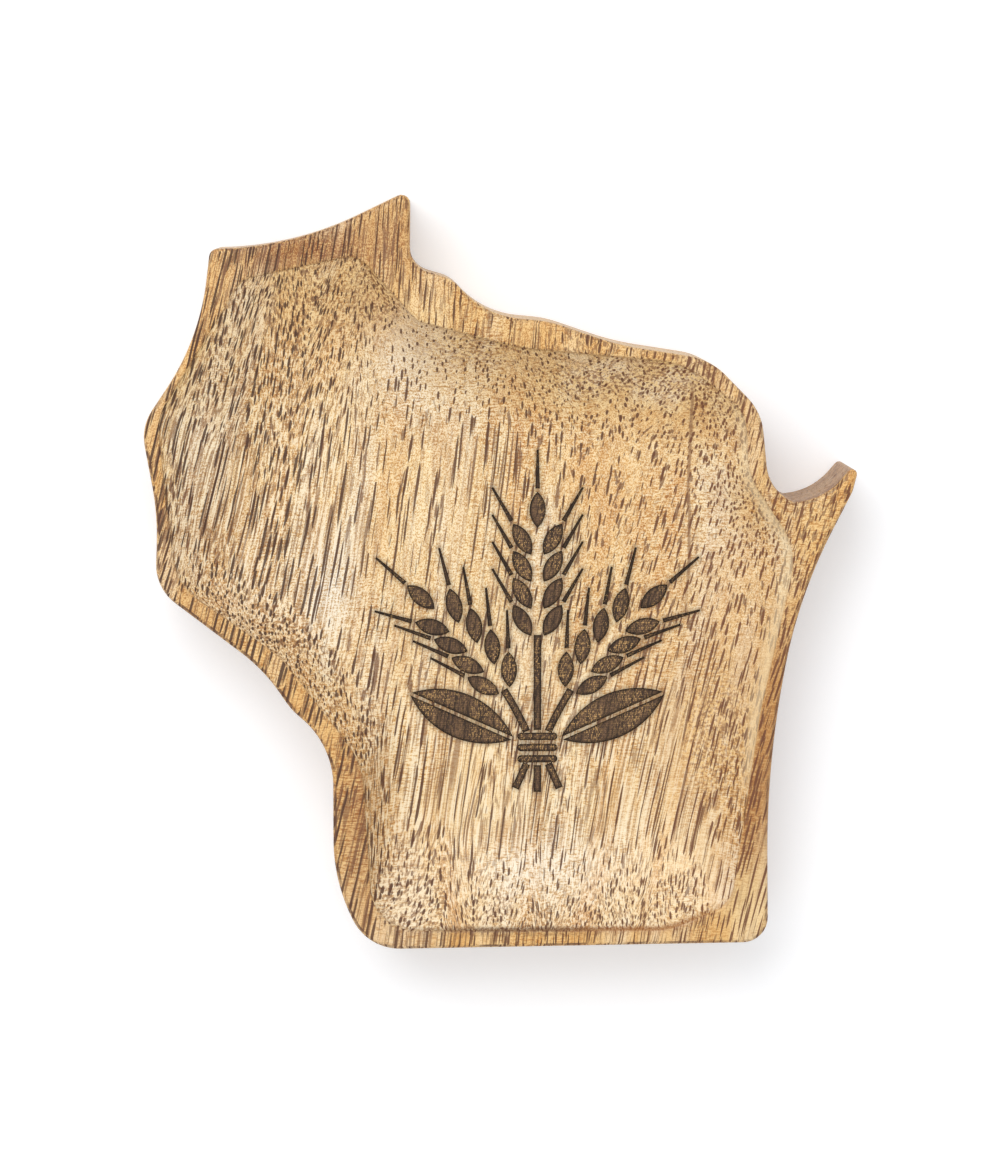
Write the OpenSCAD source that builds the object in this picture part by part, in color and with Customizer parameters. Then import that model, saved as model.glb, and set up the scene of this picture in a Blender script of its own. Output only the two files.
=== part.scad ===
// Trinket dish: one thick board of hardwood, sawn to a map-like outline, with a shallow
// bowl carved into its top. A sheaf of grain is burned into the bowl's flat floor.
// Seen from above, +Y points to the peak and +X to the thumb. The underside is at z = 0.

/* [Board] */
// Width over all, from the left point to the tip of the thumb
board_w = 94; // [78:1:113]
// Length over all, from the lower edge to the peak
board_l = 100; // [83:1:120]
// Thickness of the board
board_t = 16; // [13:0.5:20]
// Radius that eases the board's outer edges
edge_r = 0.6; // [0.3:0.1:0.7]

/* [Bowl] */
// Depth of the bowl's floor below the rim
bowl_depth = 6.5; // [4.5:0.5:9]
// Radius of the lip, where the rim rolls over into the bowl
lip_r = 0.4; // [0.2:0.1:0.8]
// How hard the wall hollows out: 1 is a straight slope, more is steeper at the lip
wall_power = 2; // [1.4:0.1:3]

/* [Burned sheaf] */
// Height of the sheaf, from its cut stem ends to the tip of the middle beard
sheaf_l = 46; // [34:1:56]
// Depth of the burned recesses below the bowl's floor
burn_depth = 0.45; // [0.35:0.05:0.8]
// How far the charred layer lies below the bowl's floor
char_drop = 0.2; // [0.05:0.05:0.3]
// Gap between a charred layer and the wall of its recess
char_gap = 0.05; // [0.02:0.01:0.08]
// Pairs of grains on each ear, below its top grain
grain_pairs = 4; // [3:1:5]

/* [Hidden] */
$fn = 96;

// How far a cut runs past the face that it opens
overrun = 1;
// Points on a rounded corner, rings on the wall, rings on a small edge, rays round the bowl
corner_steps = 5;
wall_steps = 12;
edge_steps = 3;
ray_count = 144;
// Angle round an eased edge, from the board's side, at which the flat face cuts it
ease_cut = 70;
// Largest part of a side that the roundings of its two corners may take up together
side_fill = 0.999;
// Tightest radius that an inset may leave at an outer corner
least_r = 0.05;

// Corners of the board's edge, anticlockwise from the lower right. Each row holds the corner's
// place as a share of the width and of the length, and its radius as a share of the width.
board_shares = [
    [0.379, -0.495, 0.036], [0.376, -0.259, 1.354], [0.418, -0.032, 0.707], [0.494, 0.109, 0.032],
    [0.507, 0.157, 0.007], [0.454, 0.100, 0.093], [0.412, 0.095, 0.006], [0.376, 0.109, 0.061],
    [0.365, 0.214, 0.081], [0.292, 0.284, 0.095], [0.163, 0.303, 0.394], [0.067, 0.334, 0.158],
    [-0.023, 0.342, 0.129], [-0.070, 0.390, 0.050], [-0.128, 0.406, 0.036], [-0.127, 0.506, 0.012],
    [-0.293, 0.431, 0.466], [-0.406, 0.429, 0.012], [-0.421, 0.312, 0.347], [-0.504, 0.196, 0.068],
    [-0.482, 0.081, 0.379], [-0.486, -0.017, 0.067], [-0.336, -0.125, 0.242],
    [-0.295, -0.181, 0.096], [-0.238, -0.225, 0.127], [-0.238, -0.408, 0.258],
    [-0.191, -0.502, 0.074]
];
// Corners of the bowl's rim line, in the same way
rim_shares = [
    [0.236, -0.476, 0.107], [0.326, -0.442, 0.043], [0.365, -0.185, 0.644], [0.416, 0.032, 0.093],
    [0.346, 0.130, 0.106], [0.343, 0.213, 0.063], [0.255, 0.279, 0.127], [0.024, 0.299, 0.208],
    [-0.118, 0.334, 0.020], [-0.200, 0.421, 0.036], [-0.361, 0.389, 0.026], [-0.481, 0.207, 0.073],
    [-0.457, -0.011, 0.084], [-0.312, -0.107, 0.149], [-0.197, -0.249, 0.117],
    [-0.182, -0.476, 0.064]
];
// Corners of the flat floor, in the same way
floor_shares = [
    [0.217, -0.336, 0.106], [0.291, -0.036, 0.160], [0.264, 0.136, 0.127], [-0.101, 0.196, 0.127],
    [-0.304, 0.163, 0.127], [-0.337, 0.018, 0.084], [-0.144, -0.154, 0.106], [-0.109, -0.335, 0.085]
];
// Place that the bowl's rays start from, and of the sheaf's tie, as shares of width and length
hub_shares = [-0.042, -0.021];
tie_shares = [0.053, -0.240];

// Parts of the sheaf, as shares of its height
grain_l_share = 0.102;
grain_w_share = 0.045;
grain_pitch_share = 0.079;
grain_spread_share = 0.019;
beard_l_share = 0.110;
beard_w_share = 0.011;
beard_tip_share = 0.004;
beard_space_share = 0.012;
stem_w_share = 0.020;
stem_spread_share = 0.011;
mid_stem_share = 0.330;
side_stem_share = 0.190;
bend_r_share = 1.090;
leaf_l_share = 0.330;
leaf_w_share = 0.130;
leaf_rib_share = 0.011;
leaf_x_share = 0.070;
leaf_y_share = 0.026;
tie_w_share = 0.115;
tie_bar_share = 0.020;
tie_pitch_share = 0.033;
tail_share = 0.130;

// Slants of the sheaf's parts from the upright, in degrees
grain_tilt = 30;
side_lean = 22;
leaf_lean = 66;
tail_lean = 24;

grain_l = grain_l_share * sheaf_l;
grain_w = grain_w_share * sheaf_l;
grain_pitch = grain_pitch_share * sheaf_l;
grain_spread = grain_spread_share * sheaf_l;
beard_l = beard_l_share * sheaf_l;
beard_w = beard_w_share * sheaf_l;
beard_tip = beard_tip_share * sheaf_l;
beard_space = beard_space_share * sheaf_l;
stem_w = stem_w_share * sheaf_l;
stem_spread = stem_spread_share * sheaf_l;
bend_r = bend_r_share * sheaf_l;
leaf_l = leaf_l_share * sheaf_l;
leaf_w = leaf_w_share * sheaf_l;
leaf_rib = leaf_rib_share * sheaf_l;
leaf_foot = [leaf_x_share * sheaf_l, leaf_y_share * sheaf_l];
tie_w = tie_w_share * sheaf_l;
tie_bar = tie_bar_share * sheaf_l;
tie_pitch = tie_pitch_share * sheaf_l;
tie_reach = tie_pitch + tie_bar;
tail_l = tail_share * sheaf_l;

floor_z = board_t - bowl_depth;
char_t = burn_depth - char_drop;

wood_colour = [0.80, 0.64, 0.43];
char_colour = [0.25, 0.17, 0.12];

function unit(v) = v / norm(v);

function mix(a, b, t) = a * (1 - t) + b * t;

// Arc that rounds the corner at here. Inset moves it into the solid, off an edge that runs
// anticlockwise, so it tightens an outer corner and opens an inner one.
function corner_arc(before, here, after, r, inset) =
    let (
        u = unit(before - here),
        v = unit(after - here),
        half = acos(u * v) / 2,
        centre = here + unit(u + v) * r / sin(half),
        side = sign(cross(here - before, after - here)),
        first = here + u * r / tan(half) - centre,
        start = atan2(first.y, first.x),
        sweep = side * (180 - 2 * half)
    )
    [
        for (i = [0 : corner_steps])
        let (a = start + sweep * i / corner_steps)
        centre + max(r - side * inset, least_r) * [cos(a), sin(a)]
    ];

// Half of the angle at the corner numbered i
function half_angle(corners, i) =
    let (
        n = len(corners),
        u = unit(corners[(i + n - 1) % n] - corners[i]),
        v = unit(corners[(i + 1) % n] - corners[i])
    )
    acos(u * v) / 2;

// Radii of the corners, each cut down as far as its two sides ask for, so that neighbouring
// roundings never overlap, whatever the width and length of the board
function fitted_radii(corners, radii) =
    let (
        n = len(corners),
        takes = [for (i = [0 : n - 1]) radii[i] / tan(half_angle(corners, i))],
        fits = [
            for (i = [0 : n - 1])
            let (
                next = (i + 1) % n,
                side = norm(corners[next] - corners[i])
            )
            min(1, side_fill * side / (takes[i] + takes[next]))
        ]
    )
    [for (i = [0 : n - 1]) radii[i] * min(fits[i], fits[(i + n - 1) % n])];

// Closed curve through a table of corners, each rounded to its own radius
function curve(shares, inset = 0) =
    let (
        n = len(shares),
        corners = [for (s = shares) [s.x * board_w, s.y * board_l]],
        radii = fitted_radii(corners, [for (s = shares) s[2] * board_w])
    )
    [
        for (i = [0 : n - 1])
        each corner_arc(
            corners[(i + n - 1) % n], corners[i], corners[(i + 1) % n], radii[i], inset
        )
    ];

function middle(points, axis) =
    let (values = [for (p = points) p[axis]])
    (min(values) + max(values)) / 2;

// Distance from the hub to a closed curve, in the direction a
function reach(points, a) =
    let (
        ray = [cos(a), sin(a)],
        n = len(points)
    )
    max([
        for (i = [0 : n - 1])
        let (
            p = points[i] - hub,
            side = points[(i + 1) % n] - points[i],
            slant = cross(ray, side)
        )
        if (slant != 0)
        let (
            along = cross(p, side) / slant,
            t = cross(p, ray) / slant
        )
        if (along > 0 && t >= 0 && t <= 1)
        along
    ]);

board_edge = curve(board_shares);
home = [middle(board_edge, 0), middle(board_edge, 1)];
hub = [hub_shares.x * board_w, hub_shares.y * board_l];
tie_place = [tie_shares.x * board_w, tie_shares.y * board_l];
rays = [for (i = [0 : ray_count - 1]) i * 360 / ray_count];
rim_curve = curve(rim_shares);
floor_curve = curve(floor_shares);
rim_reach = [for (a = rays) reach(rim_curve, a)];
floor_reach = [for (a = rays) reach(floor_curve, a)];

// One level ring of the board's side
function board_ring(inset, z) = [for (p = curve(board_shares, inset)) [p.x, p.y, z]];

// One level ring of the bowl: climb is 0 at the floor and 1 at the rim line
function bowl_ring(climb, outset, z) = [
    for (i = [0 : ray_count - 1])
    let (r = mix(floor_reach[i], rim_reach[i], climb) + outset)
    [hub.x + r * cos(rays[i]), hub.y + r * sin(rays[i]), z]
];

// Solid through level rings of equal length, anticlockwise and from the lowest up
module loft(rings) {
    n = len(rings[0]);
    points = [for (ring = rings) each ring];
    lowest = [for (i = [0 : n - 1]) i];
    highest = [for (i = [n - 1 : -1 : 0]) (len(rings) - 1) * n + i];
    sides = [
        for (j = [0 : len(rings) - 2])
        for (i = [0 : n - 1])
        let (a = j * n + i, b = j * n + (i + 1) % n)
        each [[a, a + n, b + n], [a, b + n, b]]
    ];
    polyhedron(points, concat([lowest], sides, [highest]));
}

// What its children fill between two levels. The flat faces come from this cut.
module between(low, high) {
    intersection() {
        children();
        translate([-board_w, -board_l, low])
            cube([2 * board_w, 2 * board_l, high - low]);
    }
}

// Sawn board with its edges eased: both flat faces cut the rounding where it has nearly levelled
module board_blank() {
    eases = [for (i = [0 : edge_steps]) 90 * i / edge_steps];
    level = edge_r * sin(ease_cut);
    between(0, board_t)
        loft(concat(
            [board_ring(edge_r, -overrun)],
            [for (q = eases) board_ring(edge_r * (1 - sin(q)), level - edge_r * cos(q))],
            [for (q = eases) board_ring(edge_r * (1 - cos(q)), board_t - level + edge_r * sin(q))],
            [board_ring(edge_r, board_t + overrun)]
        ));
}

// Room of the bowl: flat floor, hollow wall, rolled lip, open above. The lowest ring lies as far
// below the floor as the next lies above it, so the floor's edge falls on the floor curve.
module bowl_room() {
    wall_h = bowl_depth - lip_r;
    first_h = wall_h * pow(1 / wall_steps, wall_power);
    climbs = [for (i = [1 : wall_steps]) i / wall_steps];
    rolls = [for (i = [1 : edge_steps]) 90 * i / edge_steps];
    between(floor_z, board_t + overrun)
        loft(concat(
            [bowl_ring(-1 / wall_steps, 0, floor_z - first_h)],
            [for (g = climbs) bowl_ring(g, 0, floor_z + wall_h * pow(g, wall_power))],
            [for (q = rolls) bowl_ring(1, lip_r * (1 - cos(q)), board_t - lip_r * (1 - sin(q)))],
            [bowl_ring(1, lip_r, board_t + 2 * overrun)]
        ));
}

// Places on a stem, by the distance from the tie. Side is -1, 0 or 1: left, upright, right.
function stem_turn(side, way) = side == 0 ? 0 : side_lean + way / bend_r * 180 / PI;

function stem_point(side, way) =
    side == 0
    ? [0, way]
    : [
        side * (stem_spread + bend_r * (cos(side_lean) - cos(stem_turn(side, way)))),
        bend_r * (sin(stem_turn(side, way)) - sin(side_lean))
    ];

function stem_length(side) = sheaf_l * (side == 0 ? mid_stem_share : side_stem_share);

module on_stem(side, way) {
    translate(stem_point(side, way))
        rotate(-side * stem_turn(side, way))
        children();
}

// Every grain's foot: the children stand on it and point along the grain
module each_grain() {
    for (side = [-1 : 1]) {
        for (i = [0 : grain_pairs - 1])
            for (hand = [-1, 1])
                on_stem(side, stem_length(side) + i * grain_pitch)
                    translate([hand * grain_spread, 0])
                    rotate(-hand * grain_tilt)
                    children();
        on_stem(side, stem_length(side) + grain_pairs * grain_pitch)
            children();
    }
}

// Almond between two equal arcs, its foot at the origin
module almond(length, width, grow) {
    r = (length * length + width * width) / (4 * width);
    translate([0, length / 2])
        intersection() {
            translate([r - width / 2, 0])
                circle(r + grow);
            translate([width / 2 - r, 0])
                circle(r + grow);
        }
}

// Straight bar with round ends, from the origin upward
module bar(length, width, grow) {
    translate([-width / 2 - grow, 0])
        square([width + 2 * grow, length]);
    circle(width / 2 + grow);
    translate([0, length])
        circle(width / 2 + grow);
}

module grain_shapes(grow) {
    each_grain()
        almond(grain_l, grain_w, grow);
}

module beard_shapes(grow) {
    foot = beard_w / 2 + grow;
    tip = beard_tip / 2 + grow;
    each_grain()
        translate([0, grain_l + beard_space])
        polygon([[-foot, -grow], [foot, -grow], [tip, beard_l + grow], [-tip, beard_l + grow]]);
}

// Bent stem: the part of a ring that lies between the tie and the ear
module bent_stem(side, grow) {
    start = tie_reach - grow;
    end = stem_length(side) + grow;
    first = side_lean + start / bend_r * 180 / PI;
    last = side_lean + end / bend_r * 180 / PI;
    far = 2 * bend_r;
    mirror([side < 0 ? 1 : 0, 0])
        translate([stem_spread + bend_r * cos(side_lean), -bend_r * sin(side_lean)])
        intersection() {
            difference() {
                circle(bend_r + stem_w / 2 + grow);
                circle(bend_r - stem_w / 2 - grow);
            }
            polygon([
                [0, 0],
                far * [-cos(first), sin(first)],
                far * [-cos(last), sin(last)]
            ]);
        }
}

module stem_shapes(grow) {
    width = stem_w + 2 * grow;
    translate([-width / 2, tie_reach - grow])
        square([width, stem_length(0) - tie_reach + 2 * grow]);
    for (side = [-1, 1])
        bent_stem(side, grow);
    for (side = [-1 : 1])
        translate([side * stem_spread, 0])
        rotate(side * tail_lean)
        translate([-width / 2, -tail_l - grow])
        square([width, tail_l - tie_reach + 2 * grow]);
}

module leaf_shapes(grow) {
    rib = leaf_rib - 2 * grow;
    for (side = [-1, 1])
        translate([side * leaf_foot.x, leaf_foot.y])
        rotate(-side * leaf_lean)
        difference() {
            almond(leaf_l, leaf_w, grow);
            translate([-rib / 2, -leaf_l])
                square([rib, 3 * leaf_l]);
        }
}

module tie_shapes(grow) {
    for (row = [-1 : 1])
        translate([-(tie_w - tie_bar) / 2, row * tie_pitch])
        rotate(-90)
        bar(tie_w - tie_bar, tie_bar, grow);
}

// Stands its children on the recess floor, at the tie's place
module in_recess(height) {
    translate([tie_place.x, tie_place.y, floor_z - burn_depth])
        linear_extrude(height)
        children();
}

module centred() {
    translate([-home.x, -home.y, 0])
        children();
}

module dish_body() {
    color(wood_colour)
        centred()
        difference() {
            board_blank();
            bowl_room();
            in_recess(burn_depth + bowl_depth + overrun) {
                grain_shapes(char_gap);
                beard_shapes(char_gap);
                stem_shapes(char_gap);
                leaf_shapes(char_gap);
                tie_shapes(char_gap);
            }
        }
}

module burned_grains() {
    color(char_colour)
        centred()
        in_recess(char_t)
        grain_shapes(0);
}

module burned_beards() {
    color(char_colour)
        centred()
        in_recess(char_t)
        beard_shapes(0);
}

module burned_stems() {
    color(char_colour)
        centred()
        in_recess(char_t)
        stem_shapes(0);
}

module burned_leaves() {
    color(char_colour)
        centred()
        in_recess(char_t)
        leaf_shapes(0);
}

module burned_tie() {
    color(char_colour)
        centred()
        in_recess(char_t)
        tie_shapes(0);
}

dish_body();
burned_grains();
burned_beards();
burned_stems();
burned_leaves();
burned_tie();
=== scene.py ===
"""Looks of a carved hardwood trinket dish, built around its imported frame.

The dish is one board of oiled hardwood, sawn to a map-like outline, with a shallow bowl carved
into its top and a sheaf of grain burned into the bowl's floor. Sizes are in millimetres until a
mesh is made, and in the row frame: +X right, +Y to the peak, +Z up from the underside.
"""

from __future__ import annotations

import logging
import math
from dataclasses import dataclass, field
from enum import Enum
from typing import Any, Iterable, NamedTuple, Sequence

import bpy
import numpy as np
from mathutils import Matrix, Vector
from mathutils.geometry import delaunay_2d_cdt


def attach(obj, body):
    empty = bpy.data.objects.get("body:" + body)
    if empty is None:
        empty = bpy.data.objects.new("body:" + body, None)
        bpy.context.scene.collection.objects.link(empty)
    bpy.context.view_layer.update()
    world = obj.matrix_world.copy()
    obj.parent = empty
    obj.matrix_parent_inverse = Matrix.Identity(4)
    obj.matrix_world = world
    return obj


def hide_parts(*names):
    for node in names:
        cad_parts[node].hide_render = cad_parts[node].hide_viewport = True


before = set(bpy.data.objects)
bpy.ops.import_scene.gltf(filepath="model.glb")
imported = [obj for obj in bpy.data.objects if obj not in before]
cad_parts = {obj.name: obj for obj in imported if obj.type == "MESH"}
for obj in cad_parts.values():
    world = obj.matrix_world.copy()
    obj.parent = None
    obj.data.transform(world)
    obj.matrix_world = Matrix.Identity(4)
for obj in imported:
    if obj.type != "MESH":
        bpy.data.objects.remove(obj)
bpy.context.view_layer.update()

log = logging.getLogger("trinket_dish")

MM = 0.001
BODY = "root"
# Height of an equilateral triangle as a share of its side
ROW_SHARE = 0.866
# Mark of a point that lies far from the edge or the lip, in millimetres
FAR = 9.0

Points = np.ndarray
Loops = list[np.ndarray]
Pair = tuple[float, float]
Triple = tuple[float, float, float]
Quad = tuple[float, float, float, float]


class Slot(Enum):
    """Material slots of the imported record."""

    WOOD = "oiled_hardwood"
    CHAR = "charred_wood"


class Zone(Enum):
    """Ways in which the board's skin is laid out on the bake sheet."""

    TOP = "seen from above"
    SIDE = "unrolled along the outline"


class Part(Enum):
    """Parts of the burned sheaf, each with the CAD node that it stands for."""

    GRAINS = "burned_grains"
    BEARDS = "burned_beards"
    STEMS = "burned_stems"
    LEAVES = "burned_leaves"
    TIES = "burned_tie"


# Shapes in the plane


def unit(vectors: Points) -> Points:
    """Returns a vector, or every row of some, at length 1."""
    return vectors / np.linalg.norm(vectors, axis=-1, keepdims=True)


def at_height(flat: Points, z: Any) -> Points:
    """Returns places in the plane raised to a height, or each to its own."""
    return np.column_stack([flat[:, :2], np.broadcast_to(z, len(flat))])


def turned(points: Points, degrees: float) -> Points:
    """Returns the points turned anticlockwise about the origin."""
    c, s = math.cos(math.radians(degrees)), math.sin(math.radians(degrees))
    return points @ np.array([[c, s], [-s, c]])


def split_up(loop: Points, pitch: float) -> Points:
    """Adds points to a closed loop so that no side is longer than the pitch.

    Args:
        loop: Corners in order.
        pitch: Longest side to leave.

    Returns:
        The loop with points added along its longer sides.
    """
    made = []
    for here, after in zip(loop, np.roll(loop, -1, 0)):
        count = max(1, math.ceil(float(np.linalg.norm(after - here)) / pitch))
        steps = np.arange(count)[:, None] / count
        made.append(here + (after - here) * steps)
    return np.concatenate(made)


def inside(points: Points, loop: Points) -> np.ndarray:
    """Says which points lie inside a closed loop.

    Args:
        points: Places to test.
        loop: Corners in order.

    Returns:
        One truth value for each point.
    """
    x, y = points[:, 0], points[:, 1]
    found = np.zeros(len(points), bool)
    for (ax, ay), (bx, by) in zip(loop, np.roll(loop, -1, 0)):
        if ay == by:
            continue
        crossed = (ay > y) != (by > y)
        found ^= crossed & (x < (bx - ax) * (y - ay) / (by - ay) + ax)
    return found


def distance_to(points: Points, loop: Points) -> np.ndarray:
    """Measures how far each point lies from a closed loop.

    Args:
        points: Places to measure from.
        loop: Corners in order.

    Returns:
        The distance of each point to the nearest side.
    """
    best = np.full(len(points), 1e9)
    for here, after in zip(loop, np.roll(loop, -1, 0)):
        side = after - here
        along = ((points - here) @ side / (side @ side)).clip(0, 1)
        gap = points - here - along[:, None] * side
        best = np.minimum(best, np.einsum("ij,ij->i", gap, gap))
    return np.sqrt(best)


def grid_over(loop: Points, pitch: float) -> Points:
    """Lays a staggered grid.

    Args:
        loop: Closed loop.
        pitch: Distance between neighbouring points.

    Returns:
        Points over the box of the loop.
    """
    low, high = loop.min(0), loop.max(0)
    made = []
    for j, y in enumerate(np.arange(low[1], high[1], pitch * ROW_SHARE)):
        x = np.arange(low[0] + j % 2 * pitch / 2, high[0], pitch)
        made.append(np.column_stack([x, np.full(len(x), y)]))
    return np.concatenate(made)


def grid_within(loop: Points, pitch: float, clear: float) -> Points:
    """Lays a staggered grid within a loop.

    Args:
        loop: Closed loop.
        pitch: Distance between neighbouring points.
        clear: How far the points stay clear of the loop.

    Returns:
        The points inside it.
    """
    grid = grid_over(loop, pitch)
    grid = grid[inside(grid, loop)]
    return grid[distance_to(grid, loop) > clear]


def thinned(points: Points, least: float) -> np.ndarray:
    """Picks points so that no two picked ones share a cell of a fine grid.

    Args:
        points: Places in the plane.
        least: Side of a cell.

    Returns:
        The numbers of the picked points, in order.
    """
    cells = np.floor(points / least).astype(int)
    _, first = np.unique(cells, axis=0, return_index=True)
    return np.sort(first)


def rounding(steps: int) -> list[Pair]:
    """Steps evenly round an edge, through a right angle.

    Args:
        steps: Number of steps.

    Returns:
        For each step, the sine of its angle and 1 less its cosine.
    """
    angles = [math.radians(90 * i / steps) for i in range(1, steps + 1)]
    return [(math.sin(a), 1 - math.cos(a)) for a in angles]


@dataclass(frozen=True)
class Fill:
    """Triangles that fill the plane within loops and keep every loop as an edge.

    Attributes:
        points: The given points in their order, then the points where loops cross.
        triangles: Corners of the triangles, anticlockwise.
        depths: For each triangle, the highest number of the loops that hold it.
    """

    points: Points
    triangles: list[tuple[int, ...]]
    depths: list[int]

    @classmethod
    def of(cls, loops: Loops, extra: Points) -> Fill:
        """Fills some loops.

        Args:
            loops: Closed loops, the outer one first.
            extra: Points that lie clear of the loops.

        Returns:
            The fill.
        """
        points = np.concatenate([*loops, extra])
        starts = np.cumsum([0] + [len(p) for p in loops])
        faces = [list(range(starts[i], starts[i + 1])) for i in range(len(loops))]
        out = delaunay_2d_cdt([Vector(p) for p in points], [], faces, 1, 1e-7)
        names, crossings = [], []
        for place, found in zip(out[0], out[3]):
            names.append(found[0] if found else len(points) + len(crossings))
            if not found:
                crossings.append(tuple(place))
        every = np.concatenate([points, np.array(crossings).reshape(-1, 2)])
        triangles = [tuple(names[v] for v in t) for t in out[2]]
        return cls(every, triangles, [max(owners) for owners in out[5]])


@dataclass(frozen=True)
class CornerCurve:
    """Closed curve through corners that are each rounded to their own radius.

    Attributes:
        shares: Rows of a corner's place as shares of width and length, and its radius as a share
            of the width, anticlockwise.
        width: Width of the board.
        length: Length of the board.
        pitch: Longest side that the curve is divided into.
        arc_steps: Least steps round a corner.
    """

    shares: Sequence[Triple]
    width: float
    length: float
    pitch: float
    arc_steps: int = 5

    def points(self, inset: float = 0.0) -> Points:
        """Gives the curve's points.

        Args:
            inset: How far the curve is moved into the board.

        Returns:
            As many points for every inset.
        """
        table = np.array(self.shares)
        corners = table[:, :2] * (self.width, self.length)
        radii = table[:, 2] * self.width
        arcs, takes = [], []
        for i, (here, r) in enumerate(zip(corners, radii)):
            before, after = corners[i - 1], corners[(i + 1) % len(corners)]
            u, v = unit(before - here), unit(after - here)
            half = math.acos(float(u @ v)) / 2
            centre = here + unit(u + v) * r / math.sin(half)
            turn = (here[0] - before[0]) * (after[1] - here[1])
            turn -= (here[1] - before[1]) * (after[0] - here[0])
            side = math.copysign(1, turn)
            first = here + u * r / math.tan(half) - centre
            sweep = side * (math.pi - 2 * half)
            steps = max(self.arc_steps, math.ceil(abs(sweep) * r / self.pitch))
            angles = math.atan2(first[1], first[0]) + sweep * np.arange(steps + 1) / steps
            ring = np.stack([np.cos(angles), np.sin(angles)], 1)
            arcs.append(centre + (r - side * inset) * ring)
            takes.append(r / math.tan(half))
        made = []
        for i, arc in enumerate(arcs):
            j = (i + 1) % len(arcs)
            room = float(np.linalg.norm(corners[j] - corners[i])) - takes[i] - takes[j]
            count = max(1, math.ceil(room / self.pitch))
            steps = np.arange(1, count)[:, None] / count
            made += [arc, arc[-1] + (arcs[j][0] - arc[-1]) * steps]
        return np.concatenate(made)


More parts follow.
